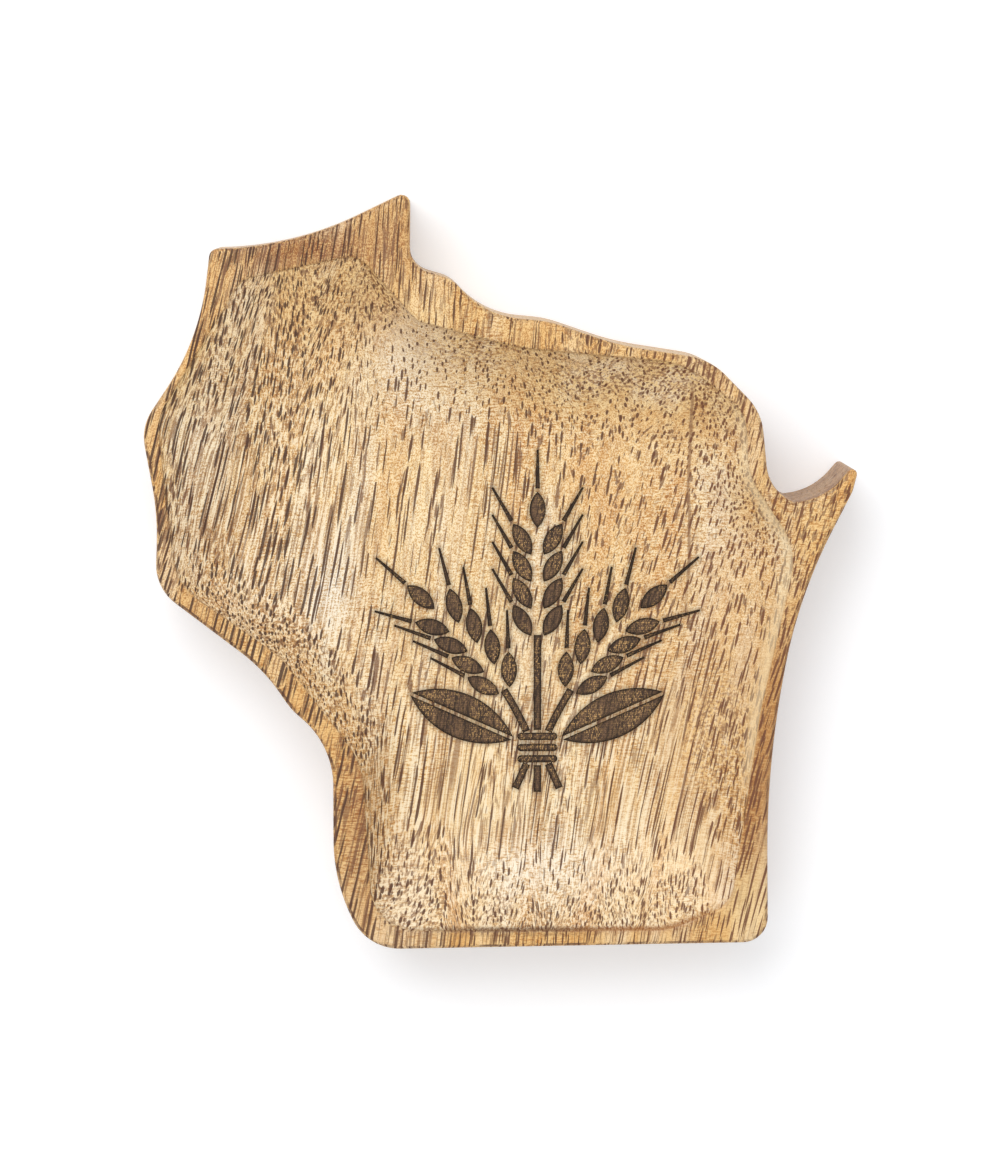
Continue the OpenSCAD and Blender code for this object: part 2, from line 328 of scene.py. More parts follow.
@dataclass(frozen=True)
class BoardForm:
    """Outline, thickness and bowl of the dish, the same as in the frame.

    Attributes:
        width: Width over all.
        length: Length over all.
        thickness: Thickness of the board.
        edge_r: Radius of the eased outer edges.
        bowl_depth: Depth of the bowl's floor below the rim.
        lip_r: Radius of the lip.
        wall_power: How hard the wall hollows out.
        pitch: Longest side that its curves are divided into.
        hub_shares: Place of the bowl's hub, as shares of width and length.
        tie_shares: Place of the sheaf's tie.
        board_shares: Corners of the outline, each with its radius as a share of the width.
        rim_shares: Corners of the line where the rim ends.
        floor_shares: Corners of the bowl's floor.
    """

    width: float = 94.0
    length: float = 100.0
    thickness: float = 16.0
    edge_r: float = 0.6
    bowl_depth: float = 6.5
    lip_r: float = 0.4
    wall_power: float = 2.0
    pitch: float = 0.7
    hub_shares: Pair = (-0.042, -0.021)
    tie_shares: Pair = (0.053, -0.240)
    board_shares: Sequence[Triple] = (
        (0.379, -0.495, 0.036), (0.376, -0.259, 1.354), (0.418, -0.032, 0.707),
        (0.494, 0.109, 0.032), (0.507, 0.157, 0.007), (0.454, 0.100, 0.093),
        (0.412, 0.095, 0.006), (0.376, 0.109, 0.061), (0.365, 0.214, 0.081),
        (0.292, 0.284, 0.095), (0.163, 0.303, 0.394), (0.067, 0.334, 0.158),
        (-0.023, 0.342, 0.129), (-0.070, 0.390, 0.050), (-0.128, 0.406, 0.036),
        (-0.127, 0.506, 0.012), (-0.293, 0.431, 0.466), (-0.406, 0.429, 0.012),
        (-0.421, 0.312, 0.347), (-0.504, 0.196, 0.068), (-0.482, 0.081, 0.379),
        (-0.486, -0.017, 0.067), (-0.336, -0.125, 0.242), (-0.295, -0.181, 0.096),
        (-0.238, -0.225, 0.127), (-0.238, -0.408, 0.258), (-0.191, -0.502, 0.074),
    )  # fmt: skip
    rim_shares: Sequence[Triple] = (
        (0.236, -0.476, 0.107), (0.326, -0.442, 0.043), (0.365, -0.185, 0.644),
        (0.416, 0.032, 0.093), (0.346, 0.130, 0.106), (0.343, 0.213, 0.063),
        (0.255, 0.279, 0.127), (0.024, 0.299, 0.208), (-0.118, 0.334, 0.020),
        (-0.200, 0.421, 0.036), (-0.361, 0.389, 0.026), (-0.481, 0.207, 0.073),
        (-0.457, -0.011, 0.084), (-0.312, -0.107, 0.149), (-0.197, -0.249, 0.117),
        (-0.182, -0.476, 0.064),
    )  # fmt: skip
    floor_shares: Sequence[Triple] = (
        (0.217, -0.336, 0.106), (0.291, -0.036, 0.160), (0.264, 0.136, 0.127),
        (-0.101, 0.196, 0.127), (-0.304, 0.163, 0.127), (-0.337, 0.018, 0.084),
        (-0.144, -0.154, 0.106), (-0.109, -0.335, 0.085),
    )  # fmt: skip

    def curve(self, shares: Sequence[Triple]) -> CornerCurve:
        """Returns the closed curve through a table of shares."""
        return CornerCurve(shares, self.width, self.length, self.pitch)

    @property
    def home(self) -> Points:
        """Middle of the outline's box, which the row frame has at its origin."""
        edge = self.curve(self.board_shares).points()
        return (edge.min(0) + edge.max(0)) / 2

    @property
    def hub(self) -> Points:
        """Place that the bowl's rays start from, before centring."""
        return np.array(self.hub_shares) * (self.width, self.length)

    @property
    def tie_place(self) -> Points:
        """Place of the sheaf's tie in the row frame."""
        return np.array(self.tie_shares) * (self.width, self.length) - self.home

    @property
    def floor_z(self) -> float:
        """Height of the bowl's floor."""
        return self.thickness - self.bowl_depth

    def reach(self, shares: Sequence[Triple], angles: Points) -> Points:
        """Measures how far a curve lies from the hub.

        Args:
            shares: Table of the curve's corners.
            angles: Directions, in radians.

        Returns:
            The greatest distance along each direction.
        """
        points = self.curve(shares).points() - self.hub
        sides = np.roll(points, -1, 0) - points
        best = np.zeros(len(angles))
        for k, angle in enumerate(angles):
            ray = (math.cos(angle), math.sin(angle))
            slant = ray[0] * sides[:, 1] - ray[1] * sides[:, 0]
            slant = np.where(np.abs(slant) < 1e-12, 1e-12, slant)
            along = (points[:, 0] * sides[:, 1] - points[:, 1] * sides[:, 0]) / slant
            t = (points[:, 0] * ray[1] - points[:, 1] * ray[0]) / slant
            best[k] = along[(along > 0) & (t >= 0) & (t <= 1)].max()
        return best


@dataclass(frozen=True)
class SheafMotif:
    """Sheaf of grain that is burned into the bowl's floor, as closed loops in the plane.

    Attributes:
        height: Height from the cut stem ends to the tip of the middle beard.
        pairs: Pairs of grains on each ear, below its top grain.
        depth: Depth of the burned recesses below the floor.
        drop: How far the charred layer lies below the floor.
        gap: Gap between a charred layer and the wall of its recess.
        grain: Length and width of a grain, as shares of the height, as all below are.
        grain_pitch: Distance between pairs of grains.
        grain_spread: How far the grains of a pair stand out from the middle.
        grain_tilt: Their lean in degrees.
        beard: Length of a beard, width of its foot and of its tip, and its gap to the grain.
        stem_w: Width of a stem.
        stem_spread: How far the side stems stand out at the tie.
        stem_lengths: Length of the upright stem and of the side stems.
        bend_r: Radius to which the side stems bend.
        side_lean: Their lean at the tie, in degrees.
        leaf: Length and width of a leaf, and width of its bare rib.
        leaf_foot: Place of a leaf's foot, across and up from the tie.
        leaf_lean: Its lean in degrees.
        tie: Length and thickness of a turn of the tie, and the distance between turns.
        tail: Length of the cut ends below the tie.
        tail_lean: Their lean in degrees.
        pitch: Longest side of an outline, in millimetres.
        bend_steps: Points along a bent stem.
        leaf_steps: Least points along a side of an almond.
        cap_steps: Points round the end of a turn of the tie.
    """

    height: float = 46.0
    pairs: int = 4
    depth: float = 0.45
    drop: float = 0.2
    gap: float = 0.05
    grain: Pair = (0.102, 0.045)
    grain_pitch: float = 0.079
    grain_spread: float = 0.019
    grain_tilt: float = 30.0
    beard: Quad = (0.110, 0.011, 0.004, 0.012)
    stem_w: float = 0.020
    stem_spread: float = 0.011
    stem_lengths: Pair = (0.330, 0.190)
    bend_r: float = 1.090
    side_lean: float = 22.0
    leaf: Triple = (0.330, 0.130, 0.011)
    leaf_foot: Pair = (0.070, 0.026)
    leaf_lean: float = 66.0
    tie: Triple = (0.115, 0.020, 0.033)
    tail: float = 0.130
    tail_lean: float = 24.0
    pitch: float = 0.3
    bend_steps: int = 14
    leaf_steps: int = 10
    cap_steps: int = 9

    def _stem_length(self, side: int) -> float:
        """Returns how far a stem runs from the tie to its ear."""
        return self.height * self.stem_lengths[abs(side)]

    def _stem_turn(self, side: int, way: float) -> float:
        """Returns a stem's lean at a distance from the tie, in degrees."""
        bent = self.side_lean + math.degrees(way / (self.bend_r * self.height))
        return bent if side else 0.0

    def _on_stem(self, points: Points, side: int, way: float) -> Points:
        """Moves points to a place on a stem.

        Args:
            points: Points that stand on the origin and face up.
            side: -1, 0 or 1 for the left, upright or right stem.
            way: Distance from the tie.

        Returns:
            The points on the stem.
        """
        turn = self._stem_turn(side, way)
        if side == 0:
            return points + (0, way)
        bend = self.bend_r * self.height
        lean, now = math.radians(self.side_lean), math.radians(turn)
        x = side * (self.stem_spread * self.height + bend * (math.cos(lean) - math.cos(now)))
        return turned(points, -side * turn) + (x, bend * (math.sin(now) - math.sin(lean)))

    def _each_grain(self, points: Points) -> Loops:
        """Sets copies of a shape on every ear.

        Args:
            points: Shape that stands on the origin and faces up.

        Returns:
            The shape at the foot of every grain.
        """
        made = []
        for side in (-1, 0, 1):
            start, pitch = self._stem_length(side), self.grain_pitch * self.height
            for i in range(self.pairs):
                for hand in (-1, 1):
                    leaned = turned(points, -hand * self.grain_tilt)
                    leaned = leaned + (hand * self.grain_spread * self.height, 0)
                    made.append(self._on_stem(leaned, side, start + i * pitch))
            made.append(self._on_stem(points, side, start + self.pairs * pitch))
        return made

    def _almond(self, length: float, width: float, grow: float, rib: float = 0.0) -> Loops:
        """Draws an almond with its foot at the origin, whole or halved by a bare rib.

        Args:
            length: Length between the tips.
            width: Greatest width.
            grow: How far the outline is moved outward.
            rib: Width of the bare rib, or 0 for a whole almond.

        Returns:
            One loop, or one for each half.
        """
        r = (length**2 + width**2) / (4 * width)
        wide, off = r + grow, r - width / 2
        y_end = math.sqrt(wide**2 - (off + rib / 2) ** 2)
        end = math.asin(y_end / wide)
        steps = max(self.leaf_steps, math.ceil(length / self.pitch))
        angles = np.linspace(-end, end, steps)
        right = np.stack([wide * np.cos(angles) - off, wide * np.sin(angles)], 1)
        right = right + (0, length / 2)
        left = right[::-1] * (-1, 1)
        if rib > 0:
            return [right, left]
        return [np.concatenate([right, left[1:-1]])]

    def _bar(self, width: float, low: float, high: float) -> Points:
        """Returns an upright bar with square ends, centred on the y axis."""
        half = width / 2
        return np.array([[-half, low], [half, low], [half, high], [-half, high]])

    def grains(self, grow: float) -> Loops:
        """Returns the outlines of the grains."""
        length, width = (s * self.height for s in self.grain)
        return self._each_grain(self._almond(length, width, grow)[0])

    def beards(self, grow: float) -> Loops:
        """Draws the beards, one above each grain.

        Args:
            grow: How far the outlines are moved outward.

        Returns:
            Their outlines.
        """
        length, width, tip, space = (s * self.height for s in self.beard)
        low, high = -grow, length + grow
        foot, tip = width / 2 + grow, tip / 2 + grow
        beard = np.array([[-foot, low], [foot, low], [tip, high], [-tip, high]])
        return self._each_grain(beard + (0, self.grain[0] * self.height + space))

    def stems(self, grow: float) -> Loops:
        """Draws the stems above the tie and their cut ends below it.

        Args:
            grow: How far the outlines are moved outward.

        Returns:
            Their outlines.
        """
        h = self.height
        width = self.stem_w * h + 2 * grow
        reach = (self.tie[1] + self.tie[2]) * h
        made = [self._bar(width, reach - grow, self._stem_length(0) + grow)]
        bend = self.bend_r * h
        for side in (-1, 1):
            ends = [reach - grow, self._stem_length(side) + grow]
            first, last = (math.radians(self.side_lean) + e / bend for e in ends)
            angles = np.linspace(first, last, self.bend_steps)
            ring = np.stack([-np.cos(angles), np.sin(angles)], 1)
            band = np.concatenate([ring * (bend - width / 2), ring[::-1] * (bend + width / 2)])
            lean = math.radians(self.side_lean)
            band = band + (self.stem_spread * h + bend * math.cos(lean), -bend * math.sin(lean))
            made.append(band if side > 0 else band[::-1] * (-1, 1))
        for side in (-1, 0, 1):
            low = -self.tail * h - grow
            bar = self._bar(width, low, low + self.tail * h - reach + 2 * grow)
            made.append(turned(bar, side * self.tail_lean) + (side * self.stem_spread * h, 0))
        return made

    def leaves(self, grow: float) -> Loops:
        """Draws the leaf halves on both sides of their bare ribs.

        Args:
            grow: How far the outlines are moved outward.

        Returns:
            Their outlines.
        """
        length, width, rib = (s * self.height for s in self.leaf)
        foot = np.array(self.leaf_foot) * self.height
        halves = self._almond(length, width, grow, rib - 2 * grow)
        return [
            turned(half, -side * self.leaf_lean) + foot * (side, 1)
            for side in (-1, 1)
            for half in halves
        ]

    def ties(self, grow: float) -> Loops:
        """Draws the bars that tie the stems.

        Args:
            grow: How far the outlines are moved outward.

        Returns:
            Their outlines.
        """
        span, bar, pitch = (s * self.height for s in self.tie)
        reach, r = (span - bar) / 2, bar / 2 + grow
        angles = np.radians(np.linspace(-90, 90, self.cap_steps))
        cap = np.stack([r * np.cos(angles) + reach, r * np.sin(angles)], 1)
        loop = np.concatenate([cap, -cap])
        return [loop + (0, row * pitch) for row in (-1, 0, 1)]

    def loops(self, part: Part, grow: float) -> Loops:
        """Gives one kind of part, anticlockwise, with its sides divided.

        Args:
            part: The part, whose name is also that of the method that draws it.
            grow: How far the outlines are moved outward.

        Returns:
            Its outlines about the tie.
        """
        made = []
        for loop in getattr(self, part.name.lower())(grow):
            x, y = loop[:, 0], loop[:, 1]
            area = float(x @ np.roll(y, -1) - y @ np.roll(x, -1))
            made.append(split_up(loop if area > 0 else loop[::-1], self.pitch))
        return made


# Meshes


@dataclass
class Draft:
    """Mesh in the making.

    Attributes:
        points: Points in the groups in which they were added.
        faces: Numbers of the corners of each face.
        sheet: Their places on the bake sheet.
        marks: Values at the points, by name.
        count: How many points there are.
    """

    points: list[Points] = field(default_factory=list)
    faces: list[tuple[int, ...]] = field(default_factory=list)
    sheet: list[Sequence[Pair]] = field(default_factory=list)
    marks: dict[str, list[Points]] = field(default_factory=dict)
    count: int = 0

    def add(self, points: Points, **marks: Any) -> int:
        """Adds points with their marks.

        Args:
            points: Rows of x, y and z in millimetres.
            marks: A number or an array for each mark.

        Returns:
            The number of the first point.
        """
        start = self.count
        self.points.append(np.asarray(points, float))
        for name, value in marks.items():
            self.marks.setdefault(name, []).append(np.broadcast_to(value, len(points)))
        self.count += len(points)
        return start

    def face(self, corners: Sequence[int], places: Sequence[Pair]) -> None:
        """Adds a face with its corners' places on the bake sheet, in millimetres."""
        self.faces.append(tuple(corners))
        self.sheet.append(places)

    def made(self, name: str, sheet_size: float, sharp: float) -> bpy.types.Object:
        """Makes the object.

        Args:
            name: Name of the object.
            sheet_size: Side of the square bake sheet in millimetres.
            sharp: Angle in degrees above which an edge is shaded sharp.

        Returns:
            The object, in metres, linked to the scene.
        """
        mesh = bpy.data.meshes.new(name)
        mesh.from_pydata((np.concatenate(self.points) * MM).tolist(), [], self.faces)
        for mark, parts in self.marks.items():
            values = np.concatenate(parts).astype(np.float32)
            mesh.attributes.new(mark, "FLOAT", "POINT").data.foreach_set("value", values)
        places = np.array([p for face in self.sheet for p in face], np.float32)
        sheet = mesh.uv_layers.new(name="OFBake")
        sheet.uv.foreach_set("vector", (places / sheet_size).ravel())
        mesh.polygons.foreach_set("use_smooth", np.ones(len(self.faces), bool))
        mesh.set_sharp_from_angle(angle=math.radians(sharp))
        mesh.update()
        made = bpy.data.objects.new(name, mesh)
        bpy.context.scene.collection.objects.link(made)
        return made


@dataclass(frozen=True)
class Stain:
    """Patch of tone on the board, which fades out like a bell.

    Attributes:
        x: Place across the board, in millimetres.
        y: Place along the board.
        across: Half width at which the patch has faded to a third.
        along: Half length at which it has faded to a third.
        strength: Tone at its middle.
    """

    x: float
    y: float
    across: float
    along: float
    strength: float

    def at(self, points: Points) -> Points:
        """Returns the tone that the patch adds at each point."""
        gap = (points[:, :2] - (self.x, self.y)) / (self.across, self.along)
        return self.strength * np.exp(-(gap**2).sum(1))


def toned(points: Points, stains: Iterable[Stain]) -> Points:
    """Returns the summed tone of some stains at each point."""
    return sum((s.at(points) for s in stains), np.zeros(len(points)))


@dataclass
class DishBody:
    """The board with its bowl and burned recesses, as one closed skin.

    Attributes:
        form: Outline and bowl.
        motif: Sheaf whose recesses are sunk into the floor.
        rays: Rays round the bowl.
        wall_steps: Rings on the bowl's wall.
        floor_rings: Lowest rings, which are left to the fill round the recesses.
        lip_steps: Rings on the lip and on each eased edge.
        side_steps: Rings on the board's side.
        cut_steps: Parts of the line that halves the underside.
        floor_pitch: Distance between the floor's points.
        rim_pitch: Distance between the rim's points.
        under_pitch: Distance between the underside's points.
        ring_clear: How far the floor's points stay clear of its edge.
        recess_clear: How far they stay clear of a recess.
        recess_reach: How far round a recess its distance is measured.
        edge_rows: Rows of points on the rim, measured from its outer edge.
        lip_rows: Rows measured from the lip.
        edge_clear: How far the rim's other points stay clear of the outer edge.
        lip_clear: How far they stay clear of the lip.
        rim_cell: Side of a cell that holds one of them at most.
        edge_share: Share of the way down the side that counts as distance from the edge.
        under_clear: How far the underside's points stay clear of its edge.
        bowl_wave: Reach of the unevenness that sanding leaves in the bowl.
        rim_wave: Its reach on the rim, downward only.
        scorch: Share of scorching at the brink of a recess.
        scorch_reach: How far the scorching reaches over the floor.
        sharp: Angle in degrees above which an edge is shaded sharp.
        sheet_size: Side of the bake sheet in millimetres.
        sheet_gap: Gap between its parts.
        wall_scale: Scale of the recess walls on it.
        wall_column: Left and right limits and foot of the column that they fill.
        side_scale: Scale of the board's side on it.
        side_row: Length of a row of the board's side.
        side_base: Height of the first such row.
        under_scale: Scale of the underside on it.
        under_places: Corners of the underside's two halves.
        umber: Dark stains.
        amber: Golden stains.
        pale: Pale patches, some of them painted highlights low in the bowl.
    """

    form: BoardForm
    motif: SheafMotif
    rays: int = 480
    wall_steps: int = 30
    floor_rings: int = 5
    lip_steps: int = 5
    side_steps: int = 6
    cut_steps: int = 24
    floor_pitch: float = 0.55
    rim_pitch: float = 1.1
    under_pitch: float = 4.0
    ring_clear: float = 0.35
    recess_clear: float = 0.18
    recess_reach: float = 3.0
    edge_rows: Pair = (0.45, 1.0)
    lip_rows: Pair = (0.4, 1.0)
    edge_clear: float = 0.3
    lip_clear: float = 0.25
    rim_cell: float = 0.28
    edge_share: float = 0.9
    under_clear: float = 1.0
    bowl_wave: float = 0.045
    rim_wave: float = 0.03
    scorch: float = 0.5
    scorch_reach: float = 0.5
    sharp: float = 50.0
    sheet_size: float = 142.0
    sheet_gap: float = 0.8
    wall_scale: float = 0.7
    wall_column: Triple = (131.2, 141.4, 2.0)
    side_scale: float = 0.72
    side_row: float = 93.0
    side_base: float = 102.2
    under_scale: float = 0.7
    under_places: tuple[Pair, ...] = ((97.5, 1.0), (97.5, 72.0))
    umber: Sequence[Stain] = (
        Stain(-36, 14, 5, 12, 0.33),
        Stain(-28, 2, 3, 9, 0.18),
        Stain(-17.5, 36, 3.4, 4.5, 0.8),
        Stain(25, 27, 4.5, 4.0, 0.85),
        Stain(13, 25.5, 8, 2.8, 0.5),
        Stain(-3, 30, 8, 2.5, 0.35),
        Stain(31, 20, 4, 3, 0.5),
        Stain(-8, -31, 2, 12, 0.3),
        Stain(14, -32, 1.6, 9, 0.25),
        Stain(29, -22, 7, 13, 0.76),
    )
    amber: Sequence[Stain] = (
        Stain(-24, 43, 7, 2.6, 1.0),
        Stain(-29, 31, 7, 9, 0.5),
        Stain(-40, 4, 3, 9, 0.5),
        Stain(-20, -32, 3, 12, 0.28),
        Stain(-14, 45, 5, 4, 0.6),
        Stain(-31, 42, 4, 2.4, 0.45),
        Stain(36.5, -15, 2.6, 19, 0.35),
        Stain(28, -22, 8, 16, 0.9),
        Stain(32, 0, 5, 12, 0.45),
        Stain(33, -30, 2.5, 10, 0.5),
        Stain(2, -36, 4, 2, 0.5),
        Stain(-15, -38, 5, 8, 0.4),
        Stain(-17, -29, 3, 9, 0.8),
    )
    # Some of these patches are painted highlights: those at (6, -40) and (33, -43) stand in for
    # the lamp's sheen on the wall low in the bowl
    pale: Sequence[Stain] = (
        Stain(-12, 29, 5, 7, 1.2),
        Stain(-4, 24, 6, 6, 0.5),
        Stain(0, 34.5, 11, 4, 0.45),
        Stain(22, 30, 9, 3, 0.5),
        Stain(33, -43, 4, 7, 1.2),
        Stain(6, -40, 10, 5, 0.9),
        Stain(30, 4, 5, 11, 0.4),
        Stain(-34, -3, 4, 10, 0.4),
        Stain(-23, -2, 4, 7, 1.1),
        Stain(43, 6, 5, 4, 0.4),
        Stain(8, -48.6, 22, 1.5, 0.2),
    )

    def build(self) -> bpy.types.Object:
        """Builds the skin.

        Returns:
            Its object.
        """
        self.draft = Draft()
        self.home = self.form.home
        self.edge = self.form.curve(self.form.board_shares).points() - self.home
        sides = np.linalg.norm(np.roll(self.edge, -1, 0) - self.edge, axis=1)
        self.side_length = np.append(0, np.cumsum(sides))
        lip_start, lip = self._bowl()
        self._rim(lip_start, lip)
        self._side_and_underside()
        return self.draft.made("carved_board", self.sheet_size, self.sharp)

    def _add(self, points: Points, **marks: Any) -> int:
        """Adds points to the draft with the tones of the stains.

        Args:
            points: Rows of x, y and z in millimetres.
            marks: Marks that differ from those of a plain place on the rim.

        Returns:
            The number of the first point.
        """
        base = {"rim": 1, "edge": FAR, "lip": FAR, "scorch": 0, **marks}
        for name in ("umber", "amber", "pale"):
            base[name] = toned(points, getattr(self, name))
        return self.draft.add(points, **base)

    def _band(self, above: int, below: int, places: Sequence[Any]) -> None:
        """Joins two rings of points by a band of faces.

        Args:
            above: Number of the first ring's first point.
            below: Number of the second ring's first point.
            places: For each face, its four corners' places on the bake sheet.
        """
        for i, place in enumerate(places):
            j = (i + 1) % len(places)
            self.draft.face((above + i, below + i, below + j, above + j), place)

    def _waves(self, xy: Points) -> Points:
        """Gives the faint unevenness that hand sanding leaves on the top.

        Args:
            xy: Places across and along the board.

        Returns:
            Heights between -1 and 1.
        """
        x, y = xy[:, 0], xy[:, 1]
        made = np.sin(0.34 * x + 0.11 * y + 0.7) * np.cos(0.27 * y - 0.08 * x + 1.9)
        made += 0.6 * np.sin(0.71 * x - 0.29 * y + 2.1) * np.sin(0.55 * y + 0.21 * x)
        made += 0.3 * np.cos(1.25 * x + 0.43 * y) * np.sin(1.02 * y - 0.37 * x + 0.4)
        return made / 1.9

    def _worn(self, flat: Points, z: Any) -> Points:
        """Returns how far the bowl's uneven skin lies above its true height."""
        climb = (z - self.form.floor_z) / self.form.bowl_depth
        return self._waves(flat) * self.bowl_wave * np.minimum(1, 4 * climb) * (1 - climb**4)

    def _bowl_height(self, flat: Points) -> Points:
        """Gives the height of the bowl's skin.

        Args:
            flat: Places on the floor or the wall.

        Returns:
            The height of each.
        """
        form = self.form
        way = flat - (form.hub - self.home)
        angles, floor, rim = self.reaches
        turn = np.arctan2(way[:, 1], way[:, 0])
        near = np.interp(turn, angles, floor, period=2 * math.pi)
        far = np.interp(turn, angles, rim, period=2 * math.pi)
        climb = np.clip((np.linalg.norm(way, axis=1) - near) / (far - near), 0, 1)
        z = form.floor_z + (form.bowl_depth - form.lip_r) * climb**form.wall_power
        return z + self._worn(flat, z)

    def _top_sheet(self, points: Points) -> list[Pair]:
        """Returns the bake places of points that are seen from above."""
        corner = np.array((self.form.width, self.form.length)) / 2 + self.sheet_gap
        return [tuple(p) for p in points[:, :2] + corner]

    def _top_places(self, upper: Points, lower: Points) -> list[Any]:
        """Returns the bake places of the faces between two rings that are seen from above."""
        a, b = self._top_sheet(upper), self._top_sheet(lower)
        return list(zip(a, b, b[1:] + b[:1], a[1:] + a[:1]))

    def _bowl(self) -> tuple[int, Points]:
        """Builds the bowl's floor with its recesses, its wall and its lip.

        Returns:
            The number of the outermost ring's first point, and that ring.
        """
        form = self.form
        angles = np.arange(self.rays) * 2 * math.pi / self.rays
        rays = np.stack([np.cos(angles), np.sin(angles)], 1)
        rim = form.reach(form.rim_shares, angles)
        floor = form.reach(form.floor_shares, angles)
        start = form.hub - self.home
        wall_h = form.bowl_depth - form.lip_r

        self.reaches = (angles, floor, rim)
        rings = []
        for climb in np.arange(self.floor_rings, self.wall_steps + 1) / self.wall_steps:
            far = floor * (1 - climb) + rim * climb
            rings.append((far, form.floor_z + wall_h * climb**form.wall_power))
        for rise, out in rounding(self.lip_steps):
            rings.append((rim + form.lip_r * out, form.thickness - form.lip_r * (1 - rise)))

        made = []
        for far, z in rings:
            flat = start + rays * far[:, None]
            points = at_height(flat, z + self._worn(flat, z))
            on_rim = np.clip((z - form.thickness + form.lip_r) / form.lip_r, 0, 1)
            made.append((self._add(points, rim=on_rim, lip=np.abs(rim - far)), points))
        for (low, inner), (high, outer) in zip(made, made[1:]):
            self._band(low, high, self._top_places(inner, outer))
        self._floor(*made[0])
        return made[-1]

    def _floor(self, ring_start: int, ring: Points) -> None:
        """Fills the floor round the recesses and sinks them.

        Args:
            ring_start: Number of the first point of the floor's edge.
            ring: The floor's edge.
        """
        form, motif = self.form, self.motif
        drawn = (loop for part in Part for loop in motif.loops(part, motif.gap))
        recesses = [loop + form.tie_place for loop in drawn]
        outer = ring[:, :2]
        grid = grid_within(outer, self.floor_pitch, self.ring_clear)
        gap = self._gaps(grid, recesses)
        clear = gap > self.recess_clear
        grid, gap = grid[clear], gap[clear]
        fill = Fill.of([outer, *recesses], grid)
        flat, corners, sunk = fill.points, np.array(fill.triangles), np.array(fill.depths) > 0

        first, free = len(outer), len(outer) + sum(map(len, recesses))
        scorch = np.zeros(len(flat))
        scorch[first:free] = self.scorch
        scorch[free : free + len(grid)] = self.scorch * np.clip(1 - gap / self.scorch_reach, 0, 1)
        skin = at_height(flat, self._bowl_height(flat))
        top = self._add(skin[first:], rim=0, scorch=scorch[first:])
        upper = np.append(ring_start + np.arange(first), top + np.arange(len(flat) - first))
        deep = np.unique(corners[sunk])
        bottom = at_height(flat[deep], form.floor_z - motif.depth)
        lower = np.zeros(len(flat), int)
        lower[deep] = self._add(bottom, rim=0, scorch=1) + np.arange(len(deep))

        places = self._top_sheet(flat)
        for triangle, is_sunk in zip(fill.triangles, sunk):
            numbers = lower if is_sunk else upper
            self.draft.face([int(numbers[c]) for c in triangle], [places[c] for c in triangle])
        inner = {(a, b) for t in corners[sunk] for a, b in zip(t, np.roll(t, -1))}
        sides = (side for t in corners[~sunk] for side in zip(t, np.roll(t, -1)))
        walls = {int(a): int(b) for a, b in sides if (b, a) in inner}
        self._recess_walls(walls, flat, upper, lower)

    def _gaps(self, grid: Points, recesses: Loops) -> Points:
        """Measures how far points on the floor lie from the nearest recess.

        Args:
            grid: The points.
            recesses: Outlines of the recesses.

        Returns:
            The distance of each, 0 inside a recess, or a far value where none is near.
        """
        gap = np.full(len(grid), FAR)
        for loop in recesses:
            low, high = loop.min(0) - self.recess_reach, loop.max(0) + self.recess_reach
            near = np.all((grid > low) & (grid < high), axis=1)
            found = distance_to(grid[near], loop)
            found[inside(grid[near], loop)] = 0
            gap[near] = np.minimum(gap[near], found)
        return gap

    def _recess_walls(
        self, walls: dict[int, int], flat: Points, upper: np.ndarray, lower: np.ndarray
    ) -> None:
        """Closes the sides of the recesses.

        Args:
            walls: Start and end of every side, as numbers of flat places.
            flat: The places.
            upper: Number of the point at the top of each place.
            lower: Number of the point at its bottom.
        """
        scale, (left, right, row) = self.wall_scale, self.wall_column
        depth, along = self.motif.depth * scale, 0.0
        while walls:
            here = next(iter(walls))
            while here in walls:
                after = walls.pop(here)
                side = float(np.linalg.norm(flat[after] - flat[here])) * scale
                if left + along + side > right:
                    along, row = 0.0, row + self.sheet_gap
                u, v = left + along, left + along + side
                corners = (upper[here], lower[here], lower[after], upper[after])
                places = ((u, row + depth), (u, row), (v, row), (v, row + depth))
                self.draft.face([int(c) for c in corners], places)
                along += side
                here = after

    def _rim(self, lip_start: int, lip: Points) -> None:
        """Fills the flat rim between the lip and the eased edge.

        Args:
            lip_start: Number of the lip's first point.
            lip: The lip's outermost ring.
        """
        form = self.form
        curve, ring = form.curve(form.board_shares), lip[:, :2]
        edge = curve.points(form.edge_r) - self.home
        rows = [curve.points(form.edge_r + d) - self.home for d in self.edge_rows]
        rows += [ring + unit(ring - form.hub + self.home) * d for d in self.lip_rows]
        extra = np.concatenate([*(r[::2] for r in rows), grid_over(edge, self.rim_pitch)])
        extra = extra[inside(extra, edge) & ~inside(extra, ring)]
        to_edge, to_lip = distance_to(extra, edge), distance_to(extra, ring)
        keep = np.flatnonzero((to_edge > self.edge_clear) & (to_lip > self.lip_clear))
        keep = keep[thinned(extra[keep], self.rim_cell)]
        extra, to_edge, to_lip = extra[keep], to_edge[keep], to_lip[keep]
        fill = Fill.of([edge, ring], extra)
        top, wave = form.thickness, (self._waves(extra) - 1) * self.rim_wave
        wave = wave * np.clip(np.minimum(to_edge, to_lip), 0, 1)
        edge_start = self._add(at_height(edge, top), edge=form.edge_r * self.edge_share)
        free = self._add(at_height(extra, top + wave), edge=to_edge + form.edge_r, lip=to_lip)
        numbers = [*range(edge_start, edge_start + len(edge))]
        numbers += [*range(lip_start, lip_start + len(lip))]
        numbers += [*range(free, free + len(extra))]
        places = self._top_sheet(np.concatenate([edge, ring, extra]))
        for corners, depth in zip(fill.triangles, fill.depths):
            if depth == 0:
                self.draft.face([numbers[c] for c in corners], [places[c] for c in corners])
        self.edge_start = edge_start

